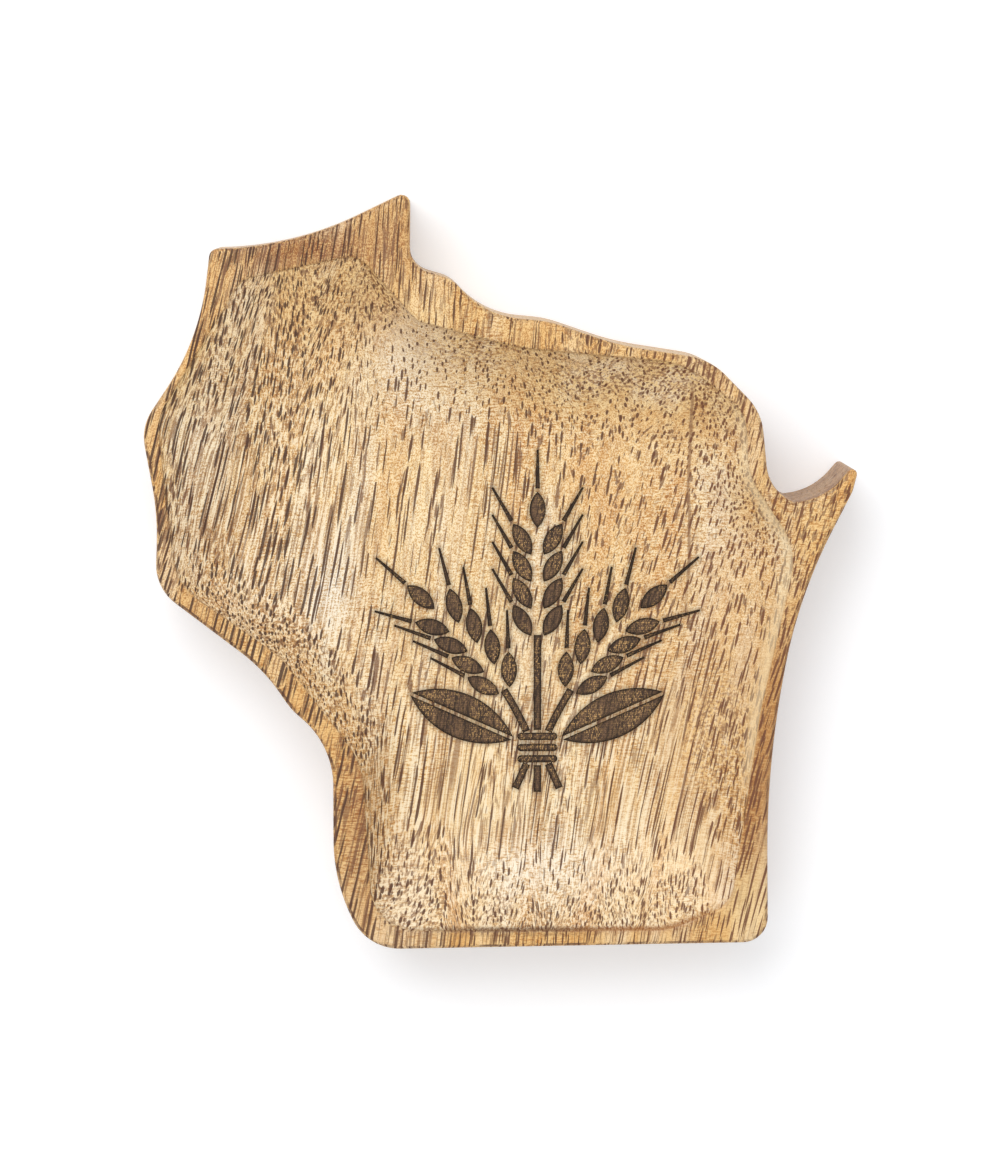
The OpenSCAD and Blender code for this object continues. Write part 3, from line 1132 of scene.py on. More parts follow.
    def _side_and_underside(self) -> None:
        """Builds the eased edges, the side and the flat underside."""
        form, r, top = self.form, self.form.edge_r, self.form.thickness
        curve = form.curve(form.board_shares)
        eased = rounding(self.lip_steps)
        levels = [(r * (1 - rise), top - r * out, Zone.TOP) for rise, out in eased]
        for i in range(1, self.side_steps + 1):
            levels.append((0.0, top - r - (top - 2 * r) * i / self.side_steps, Zone.SIDE))
        levels += [(r * out, r * (1 - rise), Zone.SIDE) for rise, out in eased]
        above, above_z, upper_ring = self.edge_start, top, curve.points(r) - self.home
        for inset, z, zone in levels:
            ring = curve.points(inset) - self.home
            here = self._add(at_height(ring, z), edge=min(top - z, z) * self.edge_share)
            if zone is Zone.TOP:
                places = self._top_places(upper_ring, ring)
            else:
                places = [self._side_places(i, above_z, z) for i in range(len(ring))]
            self._band(above, here, places)
            above, above_z, upper_ring = here, z, ring
        self._underside(above, upper_ring)

    def _side_places(self, i: int, high: float, low: float) -> list[Pair]:
        """Gives the bake places of one face on the board's side.

        Args:
            i: Number of the outline's side.
            high: Height of the face's upper edge.
            low: Height of its lower edge.

        Returns:
            Places for the upper left, lower left, lower right and upper right corners.
        """
        scale, per_row = self.side_scale, self.side_row
        start, end = self.side_length[i] * scale, self.side_length[i + 1] * scale
        row = int((start + 0.01) // per_row)
        u, v = (self.sheet_gap + s - row * per_row for s in (start, end))
        base = self.side_base + row * (self.form.thickness * scale + self.sheet_gap)
        up, down = base + high * scale, base + low * scale
        return [(u, up), (u, down), (v, down), (v, up)]

    def _underside(self, start: int, ring: Points) -> None:
        """Fills the underside, in a left and a right half for the bake sheet.

        Args:
            start: Number of the first point on its edge.
            ring: Its edge.
        """
        middle = np.abs(ring[:, 0])
        low_end = int(np.argmin(middle + 1e3 * (ring[:, 1] > 0)))
        high_end = int(np.argmin(middle + 1e3 * (ring[:, 1] < 0)))
        a, b = ring[low_end], ring[high_end]
        cut = a + (b - a) * np.arange(1, self.cut_steps)[:, None] / self.cut_steps
        halves = []
        for first, last, backward in ((low_end, high_end, True), (high_end, low_end, False)):
            span = (last - first) % len(ring)
            names = [(first + k) % len(ring) for k in range(span + 1)]
            line = cut[::-1] if backward else cut
            halves.append((names, np.concatenate([ring[names], line]), backward))
        cut_start = self._add(at_height(cut, 0))
        for names, loop, backward in halves:
            grid = grid_within(loop, self.under_pitch, self.under_clear)
            free = self._add(at_height(grid, 0))
            line = range(cut_start, cut_start + len(cut))
            numbers = [start + k for k in names]
            numbers += list(reversed(line)) if backward else list(line)
            numbers += range(free, free + len(grid))
            triangles = Fill.of([loop], grid).triangles
            every = np.concatenate([loop, grid])
            turned_over = (every - every.min(0)) * self.under_scale
            turned_over[:, 0] = turned_over[:, 0].max() - turned_over[:, 0]
            places = turned_over + self.under_places[0 if backward else 1]
            for t in triangles:
                corners = t[::-1]
                self.draft.face([numbers[c] for c in corners], [tuple(places[c]) for c in corners])


@dataclass
class BurnedLayer:
    """Charred skin at the bottom of one kind of recess, as closed low reliefs.

    Attributes:
        form: Board that it lies in.
        motif: Sheaf that it belongs to.
        part: Which of the sheaf's parts it is.
        pitch: Distance between the points of its upper face.
        clear: How far those points stay clear of its edge.
        brink: How far its upper face sinks towards the edge.
        brink_w: Width of the band that sinks.
        sharp: Angle in degrees above which an edge is shaded sharp.
        under_scale: Scale of its underside on the bake sheet.
        side_room: Height of a strip of its side on the bake sheet.
        sheet_gap: Gap between the upper face and the sides there.
        sheet_foot: Height of the tie there.
    """

    form: BoardForm
    motif: SheafMotif
    part: Part
    pitch: float = 0.28
    clear: float = 0.12
    brink: float = 0.05
    brink_w: float = 0.25
    sharp: float = 40.0
    under_scale: float = 0.15
    side_room: float = 0.25
    sheet_gap: float = 0.4
    sheet_foot: float = 11.0

    def _relief(self, xy: Points) -> Points:
        """Gives the ridges that the harder grain leaves when the wood burns down.

        Args:
            xy: Places across and along the board.

        Returns:
            Heights in millimetres, at most 0.05 above the layer.
        """
        x, y = xy[:, 0], xy[:, 1]
        ridge = np.sin(7.1 * x - 0.5 * y) + 0.7 * np.sin(11.3 * x - 0.9 * y + 1.3)
        broad = np.sin(1.9 * x + 0.8 * y) * np.cos(1.3 * y - 0.4 * x)
        return 0.018 * ridge + 0.016 * broad - 0.01

    def build(self) -> bpy.types.Object:
        """Builds the layer.

        Returns:
            Its object.
        """
        draft = Draft()
        floor = self.form.floor_z - self.motif.depth
        top = self.form.floor_z - self.motif.drop
        span = self.motif.height + 2
        along, aside = 0.0, (span + 1, 0)
        for loop in self.motif.loops(self.part, 0.0):
            outline = loop + self.form.tie_place
            grid = grid_within(outline, self.pitch, self.clear)
            flat = np.concatenate([outline, grid])
            gap = np.append(np.zeros(len(outline)), distance_to(grid, outline))
            sunk = self.brink * np.clip(1 - gap / self.brink_w, 0, 1)
            upper = draft.add(at_height(flat, top + self._relief(flat) - sunk), border=gap)
            lower = draft.add(at_height(outline, floor), border=0)
            places = [tuple(p) for p in flat - self.form.tie_place + (span / 2, self.sheet_foot)]
            for t in Fill.of([outline], grid).triangles:
                draft.face([upper + c for c in t], [places[c] for c in t])
            for t in Fill.of([outline], np.empty((0, 2))).triangles:
                low = np.array([places[c] for c in t[::-1]]) * self.under_scale + aside
                draft.face([lower + c for c in t[::-1]], [tuple(p) for p in low])
            sides = np.linalg.norm(np.roll(outline, -1, 0) - outline, axis=1)
            for i, side in enumerate(map(float, sides)):
                j = (i + 1) % len(loop)
                u, v = along % (span - 1), along % (span - 1) + side
                down = span + self.sheet_gap + 2 * self.side_room * (along // (span - 1))
                up = down + self.side_room
                along += side
                corners = (lower + i, lower + j, upper + j, upper + i)
                draft.face(corners, ((u, down), (v, down), (v, up), (u, up)))
        return draft.made(f"charred_{self.part.name.lower()}", span + 9, self.sharp)


# Finishes


def linear(code: str) -> Quad:
    """Turns an sRGB hex code into a linear colour.

    Args:
        code: Six hex digits, with or without a leading hash.

    Returns:
        Linear red, green and blue, and an alpha of 1.
    """
    digits = code.lstrip("#")
    parts = [int(digits[i : i + 2], 16) / 255 for i in (0, 2, 4)]
    red, green, blue = (
        p / 12.92 if p <= 0.04045 else ((p + 0.055) / 1.055) ** 2.4 for p in parts
    )
    return red, green, blue, 1.0


class Kind(Enum):
    """Kinds of node: Blender's type, the settings and the output that is handed on."""

    PLUS = ("ShaderNodeMath", {"operation": "ADD"}, 0)
    LESS = ("ShaderNodeMath", {"operation": "SUBTRACT"}, 0)
    TIMES = ("ShaderNodeMath", {"operation": "MULTIPLY"}, 0)
    TIMES_PLUS = ("ShaderNodeMath", {"operation": "MULTIPLY_ADD"}, 0)
    OVER = ("ShaderNodeMath", {"operation": "DIVIDE"}, 0)
    MOST = ("ShaderNodeMath", {"operation": "MAXIMUM"}, 0)
    SIZE = ("ShaderNodeMath", {"operation": "ABSOLUTE"}, 0)
    WAVE = ("ShaderNodeMath", {"operation": "SINE"}, 0)
    MOVED = ("ShaderNodeVectorMath", {"operation": "ADD"}, 0)
    APART = ("ShaderNodeVectorMath", {"operation": "SUBTRACT"}, 0)
    SCALED = ("ShaderNodeVectorMath", {"operation": "SCALE"}, 0)
    STRETCHED = ("ShaderNodeVectorMath", {"operation": "MULTIPLY"}, 0)
    LENGTH = ("ShaderNodeVectorMath", {"operation": "LENGTH"}, 1)
    JOINED = ("ShaderNodeCombineXYZ", {}, 0)
    PARTED = ("ShaderNodeSeparateXYZ", {}, 0)
    SPREAD = ("ShaderNodeMapRange", {}, 0)
    EASED = ("ShaderNodeMapRange", {"interpolation_type": "SMOOTHSTEP"}, 0)
    NOISE = ("ShaderNodeTexNoise", {"Scale": 1.0}, 0)
    CELLS = ("ShaderNodeTexVoronoi", {"voronoi_dimensions": "2D", "Scale": 1.0}, "Position")
    LAID = ("ShaderNodeMix", {"data_type": "RGBA"}, 2)
    DARKENED = ("ShaderNodeMix", {"data_type": "RGBA", "blend_type": "MULTIPLY"}, 2)
    RAMP = ("ShaderNodeValToRGB", {}, 0)
    MARK = ("ShaderNodeAttribute", {"attribute_type": "GEOMETRY"}, "Fac")
    PLACE = ("ShaderNodeTexCoord", {}, "Object")
    FACING = ("ShaderNodeTexCoord", {}, "Normal")
    RAY = ("ShaderNodeLightPath", {}, 0)
    BUMP = ("ShaderNodeBump", {"Distance": MM}, 0)
    GLOW = ("ShaderNodeEmission", {}, 0)
    BOTH = ("ShaderNodeAddShader", {}, 0)


class Ease(NamedTuple):
    """Value that is moved smoothly from one range, low to high, to another, start to end."""

    value: Any
    low: float
    high: float
    start: float = 0
    end: float = 1


@dataclass(frozen=True)
class Coat:
    """Tone that is laid over the colour so far.

    Attributes:
        tint: Its hex colour or socket.
        shares: Factors of how much of it shows.
        kind: Whether it covers or darkens what lies under it.
    """

    tint: Any
    shares: tuple[Any, ...]
    kind: Kind = Kind.LAID


@dataclass
class NodeBench:
    """Place where the nodes of a material or of the room are put together."""

    tree: bpy.types.NodeTree

    def feed(self, socket: bpy.types.NodeSocket, value: Any) -> None:
        """Feeds an input.

        Args:
            socket: The input.
            value: A number, a hex colour, a value to ease or another node's output.
        """
        if isinstance(value, Ease):
            value = self.add(Kind.EASED, *value)
        if isinstance(value, bpy.types.NodeSocket):
            self.tree.links.new(value, socket)
        else:
            socket.default_value = linear(value) if isinstance(value, str) else value

    def add(self, kind: Kind, *inputs: Any, **settings: Any) -> bpy.types.NodeSocket:
        """Adds a node with its settings and links.

        Args:
            kind: Kind of the node.
            inputs: What its inputs are fed with, in order. A sum, a product or a greatest value
                takes more than two, and is then worked out in steps.
            settings: Properties of the node, in small letters, and what inputs are fed with by
                name, with a capital.

        Returns:
            The output that the kind hands on.
        """
        if len(inputs) > 2 and kind in (Kind.PLUS, Kind.TIMES, Kind.MOST):
            inputs = (self.add(kind, *inputs[:-1]), inputs[-1])
        node_type, preset, output = kind.value
        node = self.tree.nodes.new(node_type)
        named = {}
        for name, value in {**preset, **settings}.items():
            if name.islower():
                setattr(node, name, value)
            else:
                named[name] = value
        for socket, value in zip([s for s in node.inputs if s.enabled], inputs):
            self.feed(socket, value)
        for name, value in named.items():
            self.feed(node.inputs[name], value)
        return node.outputs[output]

    def paint(self, colour: Any, coats: Iterable[Coat]) -> Any:
        """Lays coats over a colour.

        Args:
            colour: Hex colour or socket of the ground.
            coats: The coats in order.

        Returns:
            The colour that shows.
        """
        for coat in coats:
            share = coat.shares[0]
            if len(coat.shares) > 1:
                share = self.add(Kind.TIMES, *coat.shares)
            colour = self.add(coat.kind, share, colour, coat.tint)
        return colour


@dataclass
class Dressing:
    """A material in the making, named for the real material and how its surface was made."""

    name: str

    def __post_init__(self) -> None:
        """Makes the material and a bench for its nodes."""
        self.material = bpy.data.materials.new(self.name)
        self.material.use_nodes = True
        self.shader = self.material.node_tree.nodes["Principled BSDF"]
        self.bench = NodeBench(self.material.node_tree)

    def done(self, **inputs: Any) -> bpy.types.Material:
        """Feeds the shader's inputs.

        Args:
            inputs: What each is fed with, by its name with _ for a space.

        Returns:
            The material.
        """
        for name, value in inputs.items():
            self.bench.feed(self.shader.inputs[name.replace("_", " ")], value)
        return self.material


@dataclass(frozen=True)
class GrainField:
    """Space that the wood's grain runs through, shared by everything cut from the board.

    Attributes:
        lean: Slant of the grain along the board's middle, as a slope.
        side_lean: Slant near both sides.
        bend: Reach of the slow bends of the grain, in millimetres.
        bend_rates: How often the slow bends come back across, along and down, per millimetre.
        wander: Reach of the small bends of single fibres, in millimetres.
        wander_rates: How often the small bends come back.
        dive: Usual slope at which the grain dives into the board towards the peak.
        dive_spread: How far that slope differs between bands of the grain.
        dive_rate: How often those bands come back across the board.
        swell: How much steeper the grain dives in the upper right part of the board.
        middle: Place across the board that both sides' slant is measured from.
        side_from: Distances from there between which the slant grows.
        swell_above: Place along the board above which the steeper dive begins.
        swell_from: Places across the board between which it grows.
    """

    lean: float = 0.13
    side_lean: float = 0.28
    bend: float = 3.5
    bend_rates: Triple = (0.024, 0.016, 0.024)
    wander: float = 0.6
    wander_rates: Triple = (0.32, 0.055, 0.32)
    dive: float = 0.08
    dive_spread: float = 0.07
    dive_rate: float = 0.11
    swell: float = 0.13
    middle: float = -4.0
    side_from: Pair = (2.0, 40.0)
    swell_above: float = -10.0
    swell_from: Pair = (4.0, 14.0)

    def lay(self, bench: NodeBench) -> tuple[Any, Any, Any, Any]:
        """Lays the field's nodes.

        Args:
            bench: Bench of the material.

        Returns:
            Sockets for the distance across the grain, the distance along it and the depth across
            it, and for the plain place, all in millimetres.
        """
        add = bench.add
        place = add(Kind.SCALED, add(Kind.PLACE), Scale=1 / MM)
        x, y, z = add(Kind.PARTED, place).node.outputs
        bends = []
        for rates, reach in ((self.bend_rates, self.bend), (self.wander_rates, self.wander)):
            swing = add(Kind.NOISE, add(Kind.STRETCHED, place, rates), Detail=1.0)
            swing = add(Kind.APART, swing.node.outputs["Color"], (0.5, 0.5, 0.5))
            bends.append(add(Kind.SCALED, swing, Scale=reach))
        bent = add(Kind.PARTED, add(Kind.MOVED, *bends)).node.outputs
        aside = add(Kind.SIZE, add(Kind.PLUS, x, -self.middle))
        slope = Ease(aside, *self.side_from, self.lean, self.side_lean)
        leaned = add(Kind.TIMES_PLUS, add(Kind.TIMES, slope, y), -1, x)
        across = add(Kind.PLUS, leaned, bent[0])
        at = add(Kind.TIMES, across, self.dive_rate)
        band = add(Kind.NOISE, noise_dimensions="1D", W=at, Detail=1)
        least, most = self.dive - self.dive_spread, self.dive + self.dive_spread
        dive = add(Kind.SPREAD, band, 0.3, 0.7, least, most)
        sunk = add(Kind.TIMES_PLUS, dive, y, z)
        above = add(Kind.MOST, add(Kind.PLUS, y, -self.swell_above), 0)
        sunk = add(Kind.TIMES_PLUS, above, Ease(x, *self.swell_from, 0, self.swell), sunk)
        return across, y, add(Kind.PLUS, sunk, bent[2]), place


@dataclass(frozen=True)
class OiledHardwood:
    """Open-pored tropical hardwood, carved, sanded and wiped with oil.

    The oil leaves a soft satin, warms the tan ground and darkens the end grain and the pores,
    which show as long dark lines where a face follows the grain and as short dashes where the
    bowl's wall cuts across it.

    A name in size gives a pattern's coarseness across the grain, along it and into the board, in
    millimetres, and a name in rate how often one comes back, per millimetre.

    Attributes:
        grain: Field that the grain follows.
        roughness: Roughness of the oiled face.
        pore_roughness: Roughness inside the pores, which hold no oil.
        ior: Index of refraction of the oil.
        pore_pitch: Distance between neighbouring pores across the board, in millimetres.
        pore_step: Distance between neighbouring pores through the board's thickness.
        pore_tall: How much taller than wide a pore is drawn, so that it is a dash on a slope.
        pore_r: Radius of a pore.
        least_pore: Least radius, which keeps a spared pore from dividing by nothing.
        pore_depth: How far a pore sinks the face.
        fleck_height: How far the fibre fleck lifts it.
        tier_height: How far the tiers of rays lift it.
        ring_x: Place across the board of the growth ring that the bowl's right side lays bare.
        ring_swing: How far that ring bends.
        band_size: Growth bands.
        streak_size: Finer streaks in the bands.
        ring_size: Growth rings, 1 to 2 mm apart.
        ray_size: Rays, which the sawn ends show as fine upright lines.
        tier_size: Tiers of rays, 0.25 mm high, which cross the fibres as level rungs.
        fleck_size: Squirming fibre fleck.
        fibre_size: Thin dark fibres, which lie close together on the rim.
        line_size: Sparse dark lines, where fibres and filled pores run side by side.
        pulse_size: Lengths over which a pore narrows and widens.
        patch_rates: Patches where the tiers show.
        grit_rates: Torn grain where the cutter met the fibres head on, 0.4 mm coarse.
        swing_rates: Bends of that growth ring.
        uneven_rates: Broken places in the dark line at the outer edge.
        ground: Tones of the growth bands, each with its place on the way from dark to light.

    The colours below are each named for what they tint.
    """

    grain: GrainField
    roughness: float = 0.42
    pore_roughness: float = 0.75
    ior: float = 1.48
    pore_pitch: float = 0.8
    pore_step: float = 0.48
    pore_tall: float = 1.5
    pore_r: float = 0.14
    least_pore: float = 0.001
    pore_depth: float = 0.09
    fleck_height: float = 0.022
    tier_height: float = 0.012
    ring_x: float = 24.6
    ring_swing: float = 1.2
    band_size: Triple = (8.0, 170.0, 8.0)
    streak_size: Triple = (0.8, 45.0, 0.8)
    ring_size: Triple = (11.0, 90.0, 1.1)
    ray_size: Triple = (0.32, 90.0, 5.0)
    tier_size: Triple = (0.9, 0.2, 0.9)
    fleck_size: Triple = (0.17, 0.23, 0.17)
    fibre_size: Triple = (0.27, 13.0, 0.27)
    line_size: Triple = (0.5, 24.0, 0.5)
    pulse_size: Triple = (0.9, 6.0, 0.9)
    patch_rates: Triple = (0.09, 0.06, 0.09)
    grit_rates: Triple = (2.4, 2.4, 2.4)
    swing_rates: Triple = (0.15, 0.15, 0.15)
    uneven_rates: Triple = (0.3, 0.3, 0.3)
    ground: Sequence[tuple[float, str]] = (
        (0.28, "#EAB673"),
        (0.40, "#F6CF92"),
        (0.50, "#FEE2AE"),
        (0.60, "#FFEDCB"),
        (0.72, "#FFF1D8"),
    )
    streak_colour: str = "#CC9450"
    pale_colour: str = "#F8ECD6"
    pale_rim_colour: str = "#FFE2A8"
    umber_colour: str = "#A4713B"
    gold_colour: str = "#DDAA63"
    amber_colour: str = "#A66C33"
    rim_colour: str = "#DFA657"
    end_grain_colour: str = "#A87848"
    ring_colour: str = "#A9763F"
    ring_gap_colour: str = "#F3D9A6"
    ring_line_colour: str = "#95622F"
    ray_colour: str = "#EFCB94"
    # Tone of the sawn side, which also paints the shade in the notch
    sawn_and_shade_colour: str = "#96693F"
    # Painted light on sides that face the lamp
    lit_side_colour: str = "#F3D3A2"
    tier_colour: str = "#D2B27C"
    fleck_colour: str = "#D2B78A"
    gleam_colour: str = "#FEEDCB"
    pale_gleam_colour: str = "#FFF6E6"
    warm_gleam_colour: str = "#F6D08C"
    torn_colour: str = "#84552B"
    torn_gleam_colour: str = "#F4D08E"
    fibre_colour: str = "#8C6340"
    rim_fibre_colour: str = "#764A2A"
    drawn_colour: str = "#6B4026"
    pore_colour: str = "#45291E"
    brown_pore_colour: str = "#5A3624"
    red_pore_colour: str = "#6E4029"
    filled_pore_colour: str = "#8F6544"
    # Colour of the painted highlight just inside the lip
    lip_highlight_colour: str = "#F6E0B6"
    line_colour: str = "#5A3722"
    lip_colour: str = "#9A6232"
    scorch_colour: str = "#3A2418"

    def build(self) -> bpy.types.Material:
        """Mixes the finish and returns its material."""
        return HardwoodMix(self).build()


@dataclass
class HardwoodMix:
    """The oiled hardwood in the making, with the sockets that its parts share.

    Attributes:
        wood: What the finish is to look like.
    """

    wood: OiledHardwood

    def build(self) -> bpy.types.Material:
        """Mixes the finish.

        Returns:
            Its material.
        """
        wood = self.wood
        dressing = Dressing("oiled_hardwood_carved_and_sanded")
        self.bench = bench = dressing.bench
        self.add = add = bench.add
        self.across, self.along, self.depth, self.place = wood.grain.lay(bench)
        self.x, self.y, _ = add(Kind.PARTED, self.place).node.outputs
        self._marks_and_faces()

        self.bands = add(Kind.NOISE, self._at(wood.band_size), Detail=3, Roughness=0.6)
        self.streaks = add(Kind.NOISE, self._at(wood.streak_size), Detail=2)
        colour = add(Kind.RAMP, self.bands)
        elements = colour.node.color_ramp.elements
        for _ in wood.ground[2:]:
            elements.new(1)
        for element, (share, code) in zip(elements, wood.ground):
            element.position, element.color = share, linear(code)
        coats = [*self._tones(), *self._sawn_ends(), *self._rays_and_fleck(), *self._torn_grain()]
        colour = bench.paint(colour, [*coats, *self._fibres(), *self._pores(), *self._edges()])

        rough = add(Kind.SPREAD, self.pore, 0, 1, wood.roughness, wood.pore_roughness)
        rough = add(Kind.PLUS, rough, add(Kind.SPREAD, self.fleck, 0.3, 0.7, -0.05, 0.06))
        height = add(Kind.SPREAD, self.fleck, 0.3, 0.7, 0, wood.fleck_height)
        height = add(Kind.TIMES_PLUS, self.pore, -wood.pore_depth, height)
        height = add(Kind.TIMES_PLUS, self.ripple, wood.tier_height, height)
        bump = add(Kind.BUMP, Height=height, Strength=0.6)
        return dressing.done(Base_Color=colour, Roughness=rough, Normal=bump, IOR=wood.ior)

    def _at(self, size: Triple) -> Any:
        """Returns grain coordinates divided by a pattern's size in three directions."""
        ways = zip((self.across, self.along, self.depth), size)
        return self.add(Kind.JOINED, *(self.add(Kind.TIMES, way, 1 / s) for way, s in ways))

    def _marks_and_faces(self) -> None:
        """Reads the mesh's marks, and tells the sawn sides from the carved top."""
        add = self.add
        names = ("rim", "edge", "lip", "pale", "umber", "amber", "scorch")
        self.marks = {name: add(Kind.MARK, attribute_name=name) for name in names}
        self.rim, self.pale = self.marks["rim"], self.marks["pale"]
        self.facing = add(Kind.PARTED, add(Kind.FACING)).node.outputs
        self.turned_back, self.turned_up = (add(Kind.SIZE, way) for way in self.facing[1:])
        self.sawn = add(Kind.EASED, self.turned_up, 0.6, 0.1, 0, 1)
        self.end_cut = add(Kind.TIMES, self.sawn, Ease(self.turned_back, 0.3, 0.8))
        self.carved = add(Kind.LESS, 1, add(Kind.TIMES, self.sawn, 0.75))

    def _tones(self) -> list[Coat]:
        """Mixes streaks, stains, the warmer rim and the end grain that drinks more oil.

        Returns:
            Their coats.
        """
        add, wood, rim, pale = self.add, self.wood, self.rim, self.pale
        pale_tint = add(Kind.LAID, rim, wood.pale_colour, wood.pale_rim_colour)
        amber_tint = add(Kind.LAID, rim, wood.gold_colour, wood.amber_colour)
        streaky = Ease(self.streaks, 0.38, 0.62, 0.35, 1)
        rim_tone = Ease(self.bands, 0.35, 0.65, 0.7, 0.3), Ease(pale, 0, 1, 1, 0.35)
        return [
            Coat(wood.streak_colour, (Ease(self.streaks, 0.42, 0.7, 0, 0.45),)),
            # This coat also paints highlights, where its patches lie low in the bowl
            Coat(pale_tint, (pale, 0.72)),
            Coat(wood.umber_colour, (self.marks["umber"], streaky, 0.65)),
            Coat(wood.rim_colour, (rim, add(Kind.TIMES, *rim_tone))),
            Coat(amber_tint, (self.marks["amber"], add(Kind.SPREAD, rim, 0, 1, 0.7, 0.92))),
            Coat(wood.end_grain_colour, (Ease(self.turned_back, 0.25, 0.95, 0, 0.2),)),
        ]

    def _sawn_ends(self) -> list[Coat]:
        """Draws the growth rings as soft level bands and the rays as fine upright lines, and
        paints light and shade on the sawn side.

        Returns:
            Their coats.
        """
        add, wood, sawn, end_cut = self.add, self.wood, self.sawn, self.end_cut
        rings = add(Kind.NOISE, self._at(wood.ring_size), Detail=2, Roughness=0.6)
        rays = add(Kind.NOISE, self._at(wood.ray_size), Detail=1)
        shaded_notch = add(Kind.EASED, add(Kind.LESS, self.x, 30), 0, 4, 0, 1)
        lit_side = Ease(self.facing[1], 0.1, 0.5, 0, 0.45)
        return [
            Coat(wood.ring_colour, (sawn, Ease(rings, 0.45, 0.6, 0, 0.6))),
            Coat(wood.ring_gap_colour, (sawn, Ease(rings, 0.45, 0.34, 0, 0.35))),
            Coat(wood.ring_line_colour, (end_cut, Ease(rings, 0.5, 0.58, 0, 0.75))),
            Coat(wood.ray_colour, (end_cut, Ease(rays, 0.5, 0.62, 0, 0.55))),
            # Sawn sides take a darker tone, about twice as strong past x = 30 in the notch, where
            # it is painted shade
            Coat(wood.sawn_and_shade_colour, (sawn, add(Kind.SPREAD, shaded_notch, 0, 1, 0.3, 0.64))),
            # Painted light: a light cream on sides that face the peak and the lamp, except in the
            # shaded notch
            Coat(wood.lit_side_colour, (sawn, lit_side, add(Kind.LESS, 1, shaded_notch))),
        ]

    def _rays_and_fleck(self) -> list[Coat]:
        """Draws the tiers of rays and the fibre fleck.

        Returns:
            Their coats.
        """
        add, wood = self.add, self.wood
        tiers = add(Kind.NOISE, self._at(wood.tier_size), Detail=1, Roughness=0.6)
        patches = add(Kind.NOISE, add(Kind.STRETCHED, self.place, wood.patch_rates), Detail=1)
        patchy = add(Kind.TIMES, Ease(patches, 0.38, 0.62, 0.3, 1), self.carved)
        self.ripple = add(Kind.TIMES, Ease(tiers, 0.52, 0.60, 0, 0.85), patchy)
        warm = add(Kind.MOST, self.rim, Ease(self.facing[1], -0.12, -0.4, 0, 0.8))
        pale = add(Kind.TIMES, self.pale, 0.8)
        gleam_tint = add(Kind.LAID, pale, wood.gleam_colour, wood.pale_gleam_colour)
        self.gleam_tint = add(Kind.LAID, warm, gleam_tint, wood.warm_gleam_colour)
        at = self._at(wood.fleck_size)
        self.fleck = add(Kind.NOISE, at, Detail=2, Distortion=0.3)
        low = add(Kind.SPREAD, self.y, -26, -4, 0.4, 1)
        calm = add(Kind.TIMES, low, add(Kind.SPREAD, self.x, 16, 30, 1, 0.75))
        dark, light = Ease(self.fleck, 0.49, 0.60, 0, 0.9), Ease(self.fleck, 0.47, 0.37, 0, 0.5)
        return [
            Coat(wood.tier_colour, (self.ripple,), Kind.DARKENED),
            Coat(self.gleam_tint, (Ease(tiers, 0.47, 0.36, 0, 0.55), patchy)),
            Coat(wood.fleck_colour, (dark, calm, self.carved), Kind.DARKENED),
            Coat(self.gleam_tint, (light, calm, self.carved)),
        ]

    def _torn_grain(self) -> list[Coat]:
        """Draws the torn grain where the cutter met the fibres head on.

        Returns:
            Its coats.
        """
        add, wood, umber = self.add, self.wood, self.marks["umber"]
        grit = add(Kind.NOISE, add(Kind.STRETCHED, self.place, wood.grit_rates), Detail=1)
        steep = Ease(self.facing[1], -0.2, -0.55)
        torn = add(Kind.TIMES, steep, Ease(umber, 0, 0.5, 0.2, 1))
        torn = add(Kind.MOST, torn, Ease(umber, 0.3, 0.7, 0, 0.8))
        torn = add(Kind.TIMES, torn, Ease(self.sawn, 0, 0.6, 1, 0))
        return [
            Coat(wood.torn_colour, (Ease(grit, 0.52, 0.61, 0, 0.8), torn)),
            Coat(wood.torn_gleam_colour, (Ease(grit, 0.49, 0.39, 0, 0.7), torn)),
        ]

    def _fibres(self) -> list[Coat]:
        """Draws the fibres, the sparse dark lines and the edge of one growth ring.

        Returns:
            Their coats.
        """
        add, wood = self.add, self.wood
        x, y, rim, pale = self.x, self.y, self.rim, self.pale
        fibres = add(Kind.NOISE, self._at(wood.fibre_size), Detail=1)
        fibres = add(Kind.PLUS, fibres, add(Kind.SPREAD, x, -40, 40, 0.03, -0.015))
        lined = add(Kind.MOST, Ease(y, -8, -24), Ease(x, -14, -24))
        lined = add(Kind.TIMES, lined, Ease(rim, 0, 1, 1, 0), Ease(x, 14, 26, 1, 0.45))
        share = add(Kind.TIMES_PLUS, lined, 0.38, add(Kind.SPREAD, rim, 0, 1, 0.3, 0.66))
        spared = Ease(pale, 0, 1, 1, 0.4), Ease(self.end_cut, 0, 1, 1, 0.55)
        fibre_tint = add(Kind.LAID, rim, wood.fibre_colour, wood.rim_fibre_colour)
        lines = add(Kind.NOISE, self._at(wood.line_size), Detail=1)
        swing = add(Kind.NOISE, add(Kind.STRETCHED, self.place, wood.swing_rates), Detail=1)
        ring = add(Kind.TIMES_PLUS, swing, -wood.ring_swing, x)
        ring = Ease(add(Kind.SIZE, add(Kind.LESS, ring, wood.ring_x)), 0.1, 0.35, 0.75, 0)
        return [
            Coat(self.gleam_tint, (Ease(fibres, 0.47, 0.38, 0, 0.7), lined)),
            Coat(fibre_tint, (Ease(fibres, 0.53, 0.63), share, *spared)),
            Coat(wood.drawn_colour, (Ease(lines, 0.63, 0.665, 0, 0.75), Ease(pale, 0, 1, 1, 0.2))),
            Coat(wood.fibre_colour, (ring, Ease(y, -10, 2), Ease(y, 22, 28, 1, 0))),
        ]

